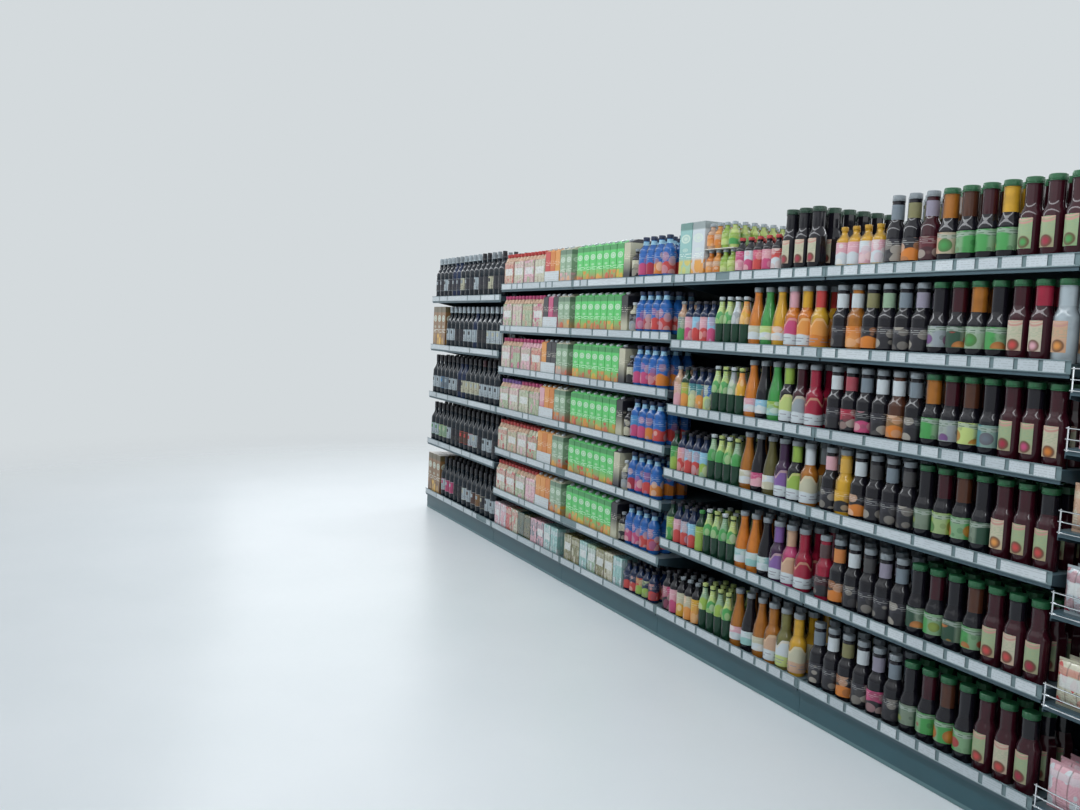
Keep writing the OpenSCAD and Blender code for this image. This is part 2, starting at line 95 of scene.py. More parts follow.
def add_camera():
    near_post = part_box("posts")[1].x - POST_WIDTH / 2
    strip_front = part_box("bottle_price_strips")[0].y
    place = Vector((near_post + CAMERA_PAST_NEAR_POST,
                    strip_front - CAMERA_FROM_STRIPS, CAMERA_HEIGHT))
    cy, sy = math.cos(CAMERA_YAW), math.sin(CAMERA_YAW)
    cp, sp = math.cos(CAMERA_PITCH), math.sin(CAMERA_PITCH)
    cr, sr = math.cos(CAMERA_ROLL), math.sin(CAMERA_ROLL)
    ahead = Vector((-cy * cp, sy * cp, -sp))
    level_right = Vector((sy, cy, 0))
    level_up = Vector((-cy * sp, sy * sp, cp))
    right = cr * level_right + sr * level_up
    up = -sr * level_right + cr * level_up
    data = bpy.data.cameras.new("photo_camera")
    data.sensor_width = SENSOR_WIDTH
    data.lens = FOCAL_PIXELS / PHOTO_WIDTH * SENSOR_WIDTH
    data.clip_end = CAMERA_SEES_TO
    camera = bpy.data.objects.new("photo_camera", data)
    camera.matrix_world = Matrix((
        (right.x, up.x, -ahead.x, place.x),
        (right.y, up.y, -ahead.y, place.y),
        (right.z, up.z, -ahead.z, place.z),
        (0, 0, 0, 1)))
    bpy.context.collection.objects.link(camera)
    bpy.context.scene.camera = camera


def colour(code):
    """Linear colour of a six-digit screen colour."""
    parts = [int(code[n:n + 2], 16) / 255 for n in (0, 2, 4)]
    return tuple(c / 12.92 if c < 0.04045 else ((c + 0.055) / 1.055) ** 2.4 for c in parts)


# Shader helpers

class Shader:
    """A node tree with short ways to add nodes and join them."""

    def __init__(self, tree, surface=None):
        self.tree, self.surface = tree, surface

    def add(self, kind, inputs=None, **settings):
        node = self.tree.nodes.new("ShaderNode" + kind)
        for key, value in settings.items():
            setattr(node, key, value)
        for key, value in (inputs or {}).items():
            self.feed(node.inputs[key], value)
        return node

    def feed(self, socket, value):
        if isinstance(value, bpy.types.NodeSocket):
            self.tree.links.new(value, socket)
        else:
            socket.default_value = value

    def show(self, base, rough, normal=None, alpha=None):
        """Joins a finish's colour, roughness and relief to its surface."""
        found = {"Base Color": base, "Roughness": rough, "Normal": normal, "Alpha": alpha}
        for label, value in found.items():
            if value is not None:
                self.feed(self.surface[label], value)

    def math(self, operation, a, b=0.0, clamp=False):
        node = self.add("Math", {0: a, 1: b}, operation=operation, use_clamp=clamp)
        return node.outputs[0]

    def times(self, a, b):
        return self.math("MULTIPLY", a, b)

    def plus(self, a, b, clamp=False):
        return self.math("ADD", a, b, clamp)

    def minus(self, a, b, clamp=False):
        return self.math("SUBTRACT", a, b, clamp)

    def mix(self, factor, a, b):
        """Colour mix; three-part colours are taken as opaque."""
        a, b = (tuple(c) + (1,) if isinstance(c, tuple) and len(c) == 3 else c for c in (a, b))
        return self.add("Mix", {0: factor, 6: a, 7: b}, data_type="RGBA").outputs[2]

    def blend(self, factor, a, b):
        return self.add("Mix", {0: factor, 2: a, 3: b}, data_type="FLOAT").outputs[0]

    def rise(self, value, low, high):
        """0 below low, 1 above high, a smooth rise between."""
        node = self.add("MapRange", {"Value": value, "From Min": low, "From Max": high},
                        interpolation_type="SMOOTHSTEP")
        return node.outputs[0]

    def inside(self, value, low, high, soft=0.012):
        """1 where value lies between low and high."""
        up = self.rise(value, low - soft, low + soft)
        return self.minus(up, self.rise(value, high - soft, high + soft), clamp=True)

    def noise(self, place, scale, detail, **more):
        inputs = {"Vector": place, "Scale": scale, "Detail": detail, **more}
        return self.add("TexNoise", inputs).outputs[0]

    def place(self):
        return self.add("TexCoord").outputs["Object"]

    def attribute(self, name, output="Color"):
        node = self.add("Attribute", attribute_name=name, attribute_type="GEOMETRY")
        return node.outputs[output]

    def uv(self):
        split = self.add("SeparateXYZ", {0: self.add("UVMap", uv_map="print").outputs[0]})
        return split.outputs["X"], split.outputs["Y"]

    def group(self, name, **inputs):
        node = self.add("Group")
        node.node_tree = bpy.data.node_groups[name]
        for key, value in inputs.items():
            self.feed(node.inputs[key], value)
        return node.outputs

    def lines(self, rows, length, seed, where):
        """Small print within a mask."""
        printed = self.group("small_print", Rows=rows, Length=length, Seed=seed)["Mask"]
        return self.times(printed, where)

    def bump(self, height, distance, strength=1.0):
        inputs = {"Height": height, "Distance": distance, "Strength": strength}
        return self.add("Bump", inputs).outputs[0]

    def paper(self):
        """The slight crinkles of a glued label."""
        return self.bump(self.group("crinkle", Scale=40.0)["Height"], 0.0002, 0.4)


def new_group(name, inputs, outputs):
    """A shader node group; inputs are numbers by name, outputs are named numbers."""
    tree = bpy.data.node_groups.new(name, "ShaderNodeTree")
    for label, default in inputs.items():
        socket = tree.interface.new_socket(label, in_out="INPUT", socket_type="NodeSocketFloat")
        socket.default_value = default
    for label in outputs:
        tree.interface.new_socket(label, in_out="OUTPUT", socket_type="NodeSocketFloat")
    taken = tree.nodes.new("NodeGroupInput").outputs
    given = tree.nodes.new("NodeGroupOutput").inputs
    return Shader(tree), taken, given


def mottle_group():
    """Broad and fine unevenness of a painted or moulded surface."""
    s, taken, given = new_group("mottle", {"Scale": 12.0, "Detail": 3.0}, ["Tone", "Fine"])
    place = s.place()
    s.feed(given["Tone"], s.noise(place, taken["Scale"], taken["Detail"]))
    s.feed(given["Fine"], s.noise(place, s.times(taken["Scale"], 23.0), 2.0))


def dust_group():
    """Dust that settles on what faces up."""
    s, taken, given = new_group("settled_dust", {"Amount": 0.5, "Scale": 9.0}, ["Mask"])
    facing = s.add("SeparateXYZ", {0: s.add("NewGeometry").outputs["Normal"]}).outputs["Z"]
    patch = s.rise(s.noise(s.place(), taken["Scale"], 4.0), 0.3, 0.75)
    mask = s.times(s.rise(facing, 0.55, 0.95), patch)
    s.feed(given["Mask"], s.times(mask, taken["Amount"]))


def fruit_group():
    """Round printed shapes scattered over a label, in its own coordinates."""
    s, taken, given = new_group("printed_fruit",
                                {"Across": 3.0, "Up": 3.0, "Size": 0.36, "Seed": 0.0},
                                ["Mask", "Tone", "Shade"])
    u, v = s.uv()
    across = s.plus(s.times(u, taken["Across"]), taken["Seed"])
    up = s.times(v, taken["Up"])
    point = s.add("CombineXYZ", {0: across, 1: up, 2: taken["Seed"]}).outputs[0]
    cells = s.add("TexVoronoi", {"Vector": point, "Scale": 1.0, "Randomness": 0.75}).outputs
    near = s.minus(taken["Size"], cells["Distance"])
    s.feed(given["Mask"], s.rise(near, -0.02, 0.03))
    s.feed(given["Tone"], s.add("SeparateColor", {0: cells["Color"]}).outputs[0])
    s.feed(given["Shade"], s.rise(cells["Distance"], 0.0, 0.5))


def print_group():
    """Rows of short bars, as small print looks from a distance."""
    s, taken, given = new_group("small_print", {"Rows": 14.0, "Length": 9.0, "Seed": 0.0},
                                ["Mask"])
    u, v = s.uv()
    row = s.times(v, taken["Rows"])
    line = s.inside(s.math("FRACT", row), 0.3, 0.62, 0.06)
    number = s.plus(s.math("FLOOR", row), taken["Seed"])
    point = s.add("CombineXYZ", {0: s.times(u, taken["Length"]), 1: number}).outputs[0]
    s.feed(given["Mask"], s.times(line, s.rise(s.noise(point, 1.0, 0.0), 0.44, 0.5)))


def crinkle_group():
    """Shallow crinkles of film and thin paper."""
    s, taken, given = new_group("crinkle", {"Scale": 30.0}, ["Height"])
    ridge = s.noise(s.place(), taken["Scale"], 3.0, Distortion=1.4)
    ridge = s.math("ABSOLUTE", s.minus(ridge, 0.5))
    s.feed(given["Height"], s.math("POWER", s.times(ridge, 2.0), 0.6))


def make_groups():
    for make in (mottle_group, dust_group, fruit_group, print_group, crinkle_group):
        make()


# Finishes of the frame

MATERIALS = {}


def new_material(name, **sockets):
    material = bpy.data.materials.new(name)
    material.use_nodes = True
    s = Shader(material.node_tree, material.node_tree.nodes["Principled BSDF"].inputs)
    for label, value in sockets.items():
        s.feed(s.surface[label.replace("_", " ")], value)
    MATERIALS[name] = material
    return s


def shade(paint, share):
    return tuple(c * share for c in paint)


def painted_steel(name, code, rough=0.42, dust=0.35):
    """Powder coat: fine orange peel, uneven gloss, and dust on what faces up."""
    s = new_material(name)
    paint = colour(code)
    cloud = s.group("mottle", Scale=5.0, Detail=4.0)
    base = s.mix(cloud["Tone"], shade(paint, 0.8), shade(paint, 1.2))
    mask = s.group("settled_dust", Amount=dust, Scale=7.0)["Mask"]
    gloss = s.blend(cloud["Tone"], rough - 0.1, rough + 0.12)
    s.show(s.mix(mask, base, colour("94938c")), s.plus(gloss, s.times(mask, 0.3), True),
           s.bump(cloud["Fine"], 0.00006))


def clouded(name, dark, light, rough, scale, detail, grain=None, **sockets):
    """A plain finish: two near colours in clouds, uneven gloss and, if given, a fine grain."""
    s = new_material(name, **sockets)
    cloud = s.group("mottle", Scale=scale, Detail=detail)
    s.show(s.mix(cloud["Tone"], dark, light), s.blend(cloud["Fine"], *rough),
           s.bump(cloud["Fine"], grain) if grain else None)
    return s


def moulded_plastic(name, code, rough=0.35):
    paint = colour(code)
    clouded(name, shade(paint, 0.86), shade(paint, 1.08), (rough - 0.06, rough + 0.1),
            8.0, 3.0, 0.00004)


def make_frame_finishes():
    painted_steel("charcoal_paint", "32454d")
    painted_steel("slate_paint", "3c545e", dust=0.3)
    painted_steel("kick_paint", "2b5059", rough=0.34, dust=0.2)
    moulded_plastic("skirting_plastic", "58777b")
    moulded_plastic("strip_plastic", "6d8286", rough=0.34)
    moulded_plastic("foot_rubber", "1b1b1d", rough=0.6)
    clouded("plated_wire", colour("ced3d6"), colour("e9ecee"), (0.12, 0.3), 20.0, 2.0,
            Metallic=1.0)
    clouded("tray_card", colour("c9c5b8"), colour("e2e0d6"), (0.55, 0.7), 14.0, 3.0, 0.0001)


# Finishes of the goods

def filled_glass(s, u, v, tint, accent, seed):
    """Bottle walls filled with juice or wine, with painted shade: dark at the edges and top."""
    cloud = s.group("mottle", Scale=26.0, Detail=2.0)
    edge = s.add("LayerWeight", {"Blend": 0.5}).outputs["Facing"]
    # Painted shade: darker where the wall turns from view and towards the top, with random clouds
    # of tone
    painted_shade_and_mottle = s.plus(s.rise(edge, 0.1, 0.8), s.times(s.rise(cloud["Tone"], 0.45, 0.8), 0.25), True)
    painted_shade_and_mottle = s.plus(painted_shade_and_mottle, s.times(s.rise(v, 0.75, 1.0), 0.2), True)
    dark = s.mix(0.78, tint, (0.002, 0.002, 0.004))
    return (s.mix(s.times(painted_shade_and_mottle, 0.92), tint, dark), s.blend(cloud["Tone"], 0.04, 0.14),
            s.bump(cloud["Tone"], 0.0006, 0.5))


def cap_plastic(s, u, v, tint, accent, seed):
    """Screw caps with ribbed sides."""
    ribs = s.math("ABSOLUTE", s.math("SINE", s.times(u, 120.0)))
    cloud = s.group("mottle", Scale=30.0, Detail=2.0)
    return (s.mix(s.times(cloud["Tone"], 0.3), tint, (0.02, 0.02, 0.022)),
            s.blend(cloud["Fine"], 0.28, 0.42), s.bump(ribs, 0.0004, 0.6))


def fruit_label(s, u, v, tint, accent, seed):
    """The tint and a paler one side by side, leaves, fruit in the accent, a pale banner."""
    shift = s.times(seed, 6.0)
    spots = s.group("printed_fruit", Across=3.4, Up=1.25, Size=0.40, Seed=shift)
    across = s.math("SINE", s.plus(s.times(u, 12.6), shift))
    leaf = s.group("printed_fruit", Across=9.0, Up=3.0, Size=0.42, Seed=shift)
    field = s.mix(s.rise(across, -0.2, 0.5), tint, s.mix(0.5, tint, colour("97a491")))
    dark_leaf = s.times(leaf["Mask"], s.rise(leaf["Tone"], 0.3, 0.9))
    field = s.mix(s.times(dark_leaf, 0.6), field, s.mix(0.6, tint, colour("0f2f1c")))
    ripe = s.mix(s.rise(spots["Tone"], 0.45, 0.6), accent, s.mix(0.45, accent, colour("c9a83c")))
    ripe = s.mix(s.times(spots["Shade"], 0.55), ripe, colour("4a2016"))
    look = s.mix(s.times(spots["Mask"], s.inside(v, 0.04, 0.74, 0.03)), field, ripe)
    banner = s.inside(s.plus(v, s.times(across, 0.05)), 0.74, 0.93, 0.02)
    look = s.mix(s.times(banner, 0.75), look, colour("9aa59c"))
    lines = s.lines(9.0, 14.0, seed, banner)
    return s.mix(lines, look, colour("3f6146")), s.blend(spots["Mask"], 0.45, 0.36), s.paper()


def tall_label(s, u, v, tint, accent, seed):
    """Curved stripes near the top, one large fruit at the foot, small print between."""
    far_u = s.times(s.minus(u, 0.5), 0.5)
    far_v = s.minus(v, s.blend(seed, 0.17, 0.23))
    far = s.math("SQRT", s.plus(s.times(far_u, far_u), s.times(far_v, far_v)))
    foot = s.minus(1.0, s.rise(far, 0.17, 0.23))
    look = s.mix(s.times(s.rise(v, 0.0, 0.42), 0.85), s.mix(0.3, tint, accent), tint)
    look = s.mix(foot, look, s.mix(s.rise(far, 0.03, 0.2), accent, colour("5a3a28")))
    bow = s.minus(v, s.times(s.times(far_u, far_u), 1.2))
    look = s.mix(s.inside(bow, 0.80, 0.87), look, colour("b98a80"))
    look = s.mix(s.inside(bow, 0.91, 0.96), look, colour("c39a8c"))
    lines = s.lines(22.0, 5.0, seed, s.inside(v, 0.44, 0.76))
    return (s.mix(s.times(lines, 0.7), look, colour("7f9f84")), s.blend(lines, 0.42, 0.5),
            s.paper())


def arch_label(s, u, v, tint, accent, seed):
    """The top edge bows up between cut-outs, with a pale rim under it and an accent foot."""
    turn = s.times(s.minus(u, 0.62), 18.85)
    bow = s.math("POWER", s.rise(s.math("COSINE", turn), -1.0, 0.8), 0.5)
    below_top = s.minus(s.blend(bow, 0.74, 0.985), v)
    wave = s.times(s.math("SINE", turn), 0.02)
    look = s.mix(s.rise(s.plus(v, wave), 0.36, 0.40), accent, tint)
    rim = s.inside(below_top, 0.01, 0.10, 0.008)
    look = s.mix(s.times(rim, 0.7), look, s.mix(0.6, tint, colour("dcc39a")))
    lines = s.lines(10.0, 12.0, seed, s.inside(v, 0.08, 0.32))
    return (s.mix(lines, look, colour("8a8a92")), s.blend(rim, 0.34, 0.44), s.paper(),
            s.rise(below_top, -0.005, 0.005))


def split_label(s, u, v, tint, accent, seed):
    """Tint above a waved edge and accent below it, with fruit all over."""
    wave = s.times(s.math("SINE", s.times(u, 18.9)), 0.05)
    spots = s.group("printed_fruit", Across=4.2, Up=2.0, Size=0.44, Seed=s.times(seed, 8.0))
    look = s.mix(s.rise(s.plus(v, wave), 0.48, 0.54), accent, tint)
    ripe = s.mix(spots["Tone"], s.mix(0.5, accent, colour("e8e0d0")), s.mix(0.5, tint, accent))
    look = s.mix(s.times(spots["Mask"], 0.75), look, ripe)
    lines = s.lines(12.0, 12.0, seed, s.inside(v, 0.70, 0.90))
    return (s.mix(s.times(lines, 0.35), look, colour("e6e8e6")),
            s.blend(spots["Mask"], 0.34, 0.44), s.paper())


def wine_label(s, u, v, tint, accent, seed):
    """Paper with a rule round its edge, a crest in the accent and small print."""
    lines = s.lines(9.0, 7.0, seed, s.inside(v, 0.10, 0.46))
    look = s.mix(s.times(lines, 0.7), tint, colour("55524c"))
    crest = s.times(s.inside(u, 0.36, 0.64, 0.02), s.inside(v, 0.56, 0.84, 0.03))
    look = s.mix(crest, look, accent)
    within = s.times(s.inside(u, 0.05, 0.95, 0.01), s.inside(v, 0.05, 0.95, 0.01))
    rule = s.minus(1.0, within)
    return s.mix(s.times(rule, 0.5), look, accent), s.blend(crest, 0.55, 0.4), s.paper()


def board(s, cloud):
    """Roughness and relief of coated carton board."""
    return s.blend(cloud["Tone"], 0.3, 0.45), s.bump(cloud["Fine"], 0.00005)


def carton_print(s, u, v, tint, accent, seed):
    """Coloured field, fruity foot, dark top band, and two pale ovals above small print."""
    cloud = s.group("mottle", Scale=18.0, Detail=2.0)
    spots = s.group("printed_fruit", Across=1.7, Up=4.0, Size=0.5, Seed=s.times(seed, 5.0))
    look = s.mix(s.rise(v, 0.06, 0.40), s.mix(0.6, tint, accent), tint)
    look = s.mix(s.rise(v, 0.84, 0.88), look, s.mix(0.55, tint, (0.01, 0.05, 0.03)))
    ripe = s.mix(spots["Tone"], accent, s.mix(0.5, accent, colour("d8a83c")))
    look = s.mix(s.times(spots["Mask"], s.inside(v, 0.03, 0.30, 0.03)), look, ripe)
    for middle, wide, high, share in ((0.70, 0.40, 0.085, 0.8), (0.49, 0.24, 0.035, 0.55)):
        across = s.math("DIVIDE", s.minus(u, 0.5), wide)
        up = s.math("DIVIDE", s.minus(v, middle), high)
        far = s.plus(s.times(across, across), s.times(up, up))
        oval = s.times(s.rise(far, 1.1, 0.8), share)
        core = s.times(s.inside(far, 0.15, 0.45, 0.08), 0.6)
        look = s.mix(oval, look, s.mix(core, colour("c9d8c9"), tint))
    lines = s.lines(30.0, 5.0, seed, s.inside(v, 0.34, 0.43))
    return s.mix(lines, look, colour("e2eade")), *board(s, cloud)


def faded_print(s, u, v, tint, accent, seed):
    """Carton board that passes from the tint above to the accent below."""
    cloud = s.group("mottle", Scale=18.0, Detail=2.0)
    lines = s.lines(20.0, 4.0, seed, s.inside(v, 0.55, 0.72))
    look = s.mix(s.rise(s.plus(v, s.times(cloud["Tone"], 0.2)), 0.2, 0.8), accent, tint)
    return s.mix(s.times(lines, 0.6), look, colour("e8e2d2")), *board(s, cloud)


def wrapped_print(s, u, v, tint, accent, seed):
    """Fruit, upright bands of painted shade and, on about half, a pale panel, under creased clear
    film.
    """
    spots = s.group("printed_fruit", Across=4.0, Up=3.0, Size=0.5, Seed=s.times(seed, 11.0))
    painted_gap_shade = s.math("ABSOLUTE", s.math("SINE", s.times(u, 9.42)))
    look = s.mix(s.times(spots["Mask"], s.rise(spots["Tone"], 0.3, 0.8)), tint, accent)
    look = s.mix(s.inside(v, 0.72, 0.88), look, s.mix(0.55, tint, accent))
    # Painted shade: dark upright bands at thirds of the width, where the packed items meet
    look = s.mix(s.times(s.rise(painted_gap_shade, 0.35, 0.0), 0.6), look, colour("4a423c"))
    panel = s.times(s.inside(u, 0.10, 0.90, 0.02), s.inside(v, 0.42, 0.70))
    panel = s.times(panel, s.rise(seed, 0.45, 0.5))
    look = s.mix(s.times(panel, 0.85), look, colour("ccd0ce"))
    lines = s.lines(16.0, 9.0, seed, s.inside(v, 0.12, 0.30))
    crease = s.group("crinkle", Scale=26.0)["Height"]
    return (s.mix(s.times(lines, 0.5), look, colour("8a5a56")), s.blend(crease, 0.22, 0.42),
            s.bump(crease, 0.0014, 0.7))


def plain_paper(s, u, v, tint, accent, seed):
    """Paper, card and board in each item's own colour."""
    cloud = s.group("mottle", Scale=22.0, Detail=3.0)
    return (s.mix(s.times(cloud["Tone"], 0.25), tint, colour("8a8a86")),
            s.blend(cloud["Fine"], 0.5, 0.66), s.bump(cloud["Fine"], 0.00008))


def ticket_card(s, u, v, tint, accent, seed):
    """White card with faint bars."""
    bars = s.group("small_print", Rows=5.0, Length=8.0, Seed=s.times(seed, 40.0))["Mask"]
    cloud = s.group("mottle", Scale=10.0, Detail=2.0)
    card = s.mix(s.times(cloud["Tone"], 0.3), tint, colour("aab3b6"))
    return (s.mix(s.times(bars, 0.35), card, accent), s.blend(cloud["Fine"], 0.3, 0.42),
            s.bump(cloud["Fine"], 0.00003))


CLEAR_WALL = {"Coat_Weight": 0.35, "Coat_Roughness": 0.02, "Specular_IOR_Level": 0.2}
GLOSSY_BOARD = {"Coat_Weight": 0.25, "Coat_Roughness": 0.2}
CLEAR_FILM = {"Coat_Weight": 0.8, "Coat_Roughness": 0.12}


def make_goods_finishes():
    """Each look is a function with the name of its finish.

    It takes the place on the print, from 0 to 1 across and up the label or pack, and the
    item's two colours and own number. It gives colour, roughness, relief and any cut-out.
    """
    for look, sockets in (
            (filled_glass, CLEAR_WALL), (cap_plastic, {}), (fruit_label, {}), (tall_label, {}),
            (arch_label, {}), (split_label, {}), (wine_label, {}), (carton_print, GLOSSY_BOARD),
            (faded_print, GLOSSY_BOARD), (wrapped_print, CLEAR_FILM), (plain_paper, {}),
            (ticket_card, {})):
        s = new_material(look.__name__, **sockets)
        u, v = s.uv()
        tint, accent = s.attribute("tint"), s.attribute("accent")
        s.show(*look(s, u, v, tint, accent, s.attribute("seed", "Fac")))


# Shapes: small templates that a Stack copies many times into one mesh

class Shape:
    """Corners, faces, and for each face a part name and its print coordinates."""

    def __init__(self):
        self.co, self.faces, self.parts, self.uv = [], [], [], []

    def face(self, corners, part, uv):
        self.faces.append(tuple(corners))
        self.parts.append(part)
        self.uv.extend(uv)

    def walls(self, first, columns, heights, sides):
        """Joins rings of corners; each side has a part and the two ends of its print."""
        low, span = heights[0], max(heights[-1] - heights[0], 1e-6)
        for i in range(len(heights) - 1):
            v0, v1 = (heights[i] - low) / span, (heights[i + 1] - low) / span
            a, b = first + i * columns, first + (i + 1) * columns
            for j, (part, u0, u1) in enumerate(sides):
                k = (j + 1) % columns
                self.face((a + j, a + k, b + k, b + j), part,
                          ((u0, v0), (u1, v0), (u1, v1), (u0, v1)))

    def end(self, first, columns, part, at, down=False):
        """Closes a ring of corners by one face, all of it at one place of the print."""
        corners = range(first, first + columns)
        self.face(reversed(corners) if down else corners, part, [at] * columns)

    def turn(self, outline, part, sides, half_angle=math.pi, lid=False, base=False):
        """Revolves (radius, height) points round the upright axis; the middle faces -Y."""
        columns = sides if half_angle >= math.pi else sides + 1
        first = len(self.co)
        for radius, height in outline:
            for j in range(columns):
                angle = (2 * j / sides - 1) * half_angle
                self.co.append((radius * math.sin(angle), -radius * math.cos(angle), height))
        self.walls(first, columns, [height for radius, height in outline],
                   [(part, j / sides, (j + 1) / sides) for j in range(sides)])
        if lid:
            self.end(len(self.co) - columns, columns, part, (0.5, 1.0))
        if base:
            self.end(first, columns, part, (0.5, 0.0), down=True)
        return self

    def loft(self, rings, part, front=None, caps=True):
        """Joins rings of points, front edge first, every second edge a bevel."""
        columns = len(rings[0])
        first = len(self.co)
        for points in rings:
            self.co.extend(points)
        self.walls(first, columns, [points[0][2] for points in rings],
                   [(front if front and j == 0 else part, 0.0, 0.0 if j % 2 else 1.0)
                    for j in range(columns)])
        if caps:
            self.end(len(self.co) - columns, columns, part, PRINT_TOP)
            self.end(first, columns, part, PRINT_FOOT, down=True)
        return self

    def put(self, other, tilt, move):
        """Adds another shape, tilted about X and moved."""
        c, s = math.cos(tilt), math.sin(tilt)
        first = len(self.co)
        for x, y, z in other.co:
            self.co.append((x + move[0], y * c - z * s + move[1], y * s + z * c + move[2]))
        self.faces.extend(tuple(n + first for n in face) for face in other.faces)
        self.parts.extend(other.parts)
        self.uv.extend(other.uv)
        return self


def ring(x0, x1, y0, y1, z, bevel):
    """Eight corners of a bevelled rectangle, from the left end of its front edge."""
    b = bevel
    return [(x0 + b, y0, z), (x1 - b, y0, z), (x1, y0 + b, z), (x1, y1 - b, z),
            (x1 - b, y1, z), (x0 + b, y1, z), (x0, y1 - b, z), (x0, y0 + b, z)]


def block(width, depth, height, part="side", front="front", bevel=0.0015):
    """A box with bevelled edges, standing on z = 0, its front face at y = 0."""
    w, b = width / 2, bevel
    return Shape().loft([
        ring(b - w, w - b, b, depth - b, 0, b / 2), ring(-w, w, 0, depth, b, b),
        ring(-w, w, 0, depth, height - b, b), ring(b - w, w - b, b, depth - b, height, b / 2),
    ], part, front)


def carton(width, depth, height, cap_sides):
    """A drink carton: sloping front shoulder with a screw cap on it."""
    w, b = width / 2, 0.0012
    slope_d, slope_h = depth * 0.5, depth * 0.22
    shape = Shape().loft([
        ring(b - w, w - b, b, depth - b, 0, b / 2), ring(-w, w, 0, depth, b, b),
        ring(-w, w, 0, depth, height - slope_h, b)], "side", "front", caps=False)
    shoulder = [ring(-w, w, 0, depth, height - slope_h, b),
                ring(-w, w, slope_d, depth, height, b)]
    shape.loft(shoulder, "top", caps=True)
    cap_r = width * 0.2
    cap = Shape().turn([(cap_r * 0.95, 0), (cap_r, 0.0015), (cap_r, 0.0075), (cap_r * 0.9, 0.009)],
                       "cap", cap_sides, lid=True)
    return shape.put(cap, math.atan(slope_h / slope_d), (0, slope_d / 2, height - slope_h / 2))


def bundle(width, depth, height, sides=10):
    """Bottles in shrink film: a soft-edged block with six shoulders and caps above it."""
    body = height * 0.76
    above = height - body
    across = width / 6
    shape = block(width, depth, body, bevel=FILM_BEVEL)
    for i in range(3):
        for j in range(2):
            place = ((i - 1) * width / 3, depth * (0.26 + 0.48 * j), body)
            shoulder = [(across * 0.96, -0.002), (across * 0.9, above * 0.14),
                        (across * 0.62, above * 0.42), (across * 0.5, above * 0.55)]
            shape.put(Shape().turn(shoulder, "top", sides), 0.0, place)
            cap = [(across * 0.56, above * 0.55), (across * 0.6, above * 0.6),
                   (across * 0.6, above * 0.96), (across * 0.54, above)]
            shape.put(Shape().turn(cap, "cap", sides, lid=True), 0.0, place)
    return shape


def bottle(radius, height, body, neck, neck_r, cap_r, cap_h, label, fine, wrap=None,
           groove=False):
    """A bottle standing on z = 0 with its axis at x = y = 0.

    body and neck are the ends of the straight wall and of the shoulder, as shares of the
    height. label is the low and high share of its label and its half angle; wrap is the
    low and high share of the paper round the neck. groove runs round the shoulder's foot.
    """
    sides = FRONT_SIDES if fine else BEHIND_SIDES
    steps = 6 if fine else 3
    body_z, neck_z, foot = height * body, height * neck, radius * 0.12
    under_cap = height - cap_h

    def reach(z):
        share = min(max((z - body_z) / (neck_z - body_z), 0.0), 1.0)
        return neck_r + (radius - neck_r) * (1 + math.cos(math.pi * share)) / 2

    rise = [body_z + (neck_z - body_z) * n / steps for n in range(steps + 1)]
    curve = [(reach(z), z) for z in rise]
    shape = Shape()
    if fine:
        bead = min(neck_r + 0.0012, cap_r)
        walls = [(radius - 1.4 * foot, 0.0008), (radius - foot, 0),
                 (radius - foot * 0.3, foot * 0.3), (radius, foot)]
        if groove:
            walls += [(radius, body_z - 0.008), (radius - 0.0016, body_z - 0.005),
                      (radius, body_z - 0.002)]
        neck = [curve[-1], (neck_r, under_cap - 0.004), (bead, under_cap - 0.003),
                (bead, under_cap - 0.001), (neck_r, under_cap)]
        cap = [(cap_r * 0.9, under_cap), (cap_r, under_cap + 0.001),
               (cap_r, under_cap + cap_h * 0.2), (cap_r * 0.95, under_cap + cap_h * 0.24),
               (cap_r, under_cap + cap_h * 0.28), (cap_r, height - 0.0015),
               (cap_r - 0.0015, height)]
    else:
        walls = [(radius - foot, 0), (radius, foot)]
        neck = [curve[-1], (neck_r, under_cap)]
        cap = [(cap_r, under_cap), (cap_r, height)]
    shape.turn(walls + curve, "glass", sides, base=fine)
    shape.turn(neck, "neck", sides)
    shape.turn(cap, "cap", sides, lid=True)

    def paper(low, high):
        between = [z for z in rise if low + 0.001 < z < high - 0.001]
        return [(reach(z) + PAPER, z) for z in [low] + between + [high]]

    low, high, half_angle = label
    around = sides if half_angle >= math.pi else max(3, round(sides * half_angle / math.pi))
    sheet = paper(low * height, high * height)
    if fine:
        sheet = [(sheet[0][0] - 2 * PAPER, sheet[0][1])] + sheet
        sheet.append((sheet[-1][0] - 2 * PAPER, sheet[-1][1]))
    shape.turn(sheet, "label", around, half_angle)
    if wrap:
        shape.turn(paper(wrap[0] * height, wrap[1] * height), "wrap", sides)
    return shape


def pillow(width, height, thickness, cells):
    """A filled packet standing on its crimped foot, its middle at y = 0."""
    shape = Shape()
    seam = height * 0.05
    for side in (-1, 1):
        first = len(shape.co)
        for i in range(cells + 1):
            v = i / cells
            full = max(0.0, 1 - abs(2 * v - 1) ** 2.2)
            for j in range(cells + 1):
                u = j / cells
                over = max(0.0, 1 - abs(2 * u - 1) ** 4)
                bulge = thickness / 2 * math.sqrt(full) * (0.25 + 0.75 * over)
                shape.co.append(((0.5 - u) * width * (1 - 0.05 * full) * side, side * bulge,
                                 seam + v * (height - 2 * seam)))
        for i in range(cells):
            for j in range(cells):
                a = first + i * (cells + 1) + j
                b = a + cells + 1
                corners = ((0, 0), (1, 0), (1, 1), (0, 1))
                uv = [((j + du) / cells, (i + dv) / cells) for du, dv in corners]
                shape.face((a, a + 1, b + 1, b), "film", uv)
    w, t = width / 2, 0.0012
    for z0, z1 in ((0, seam), (height - seam, height)):
        shape.loft([ring(-w, w, -t, t, z0, 0.0004), ring(-w, w, -t, t, z1, 0.0004)], "seam")
    return shape


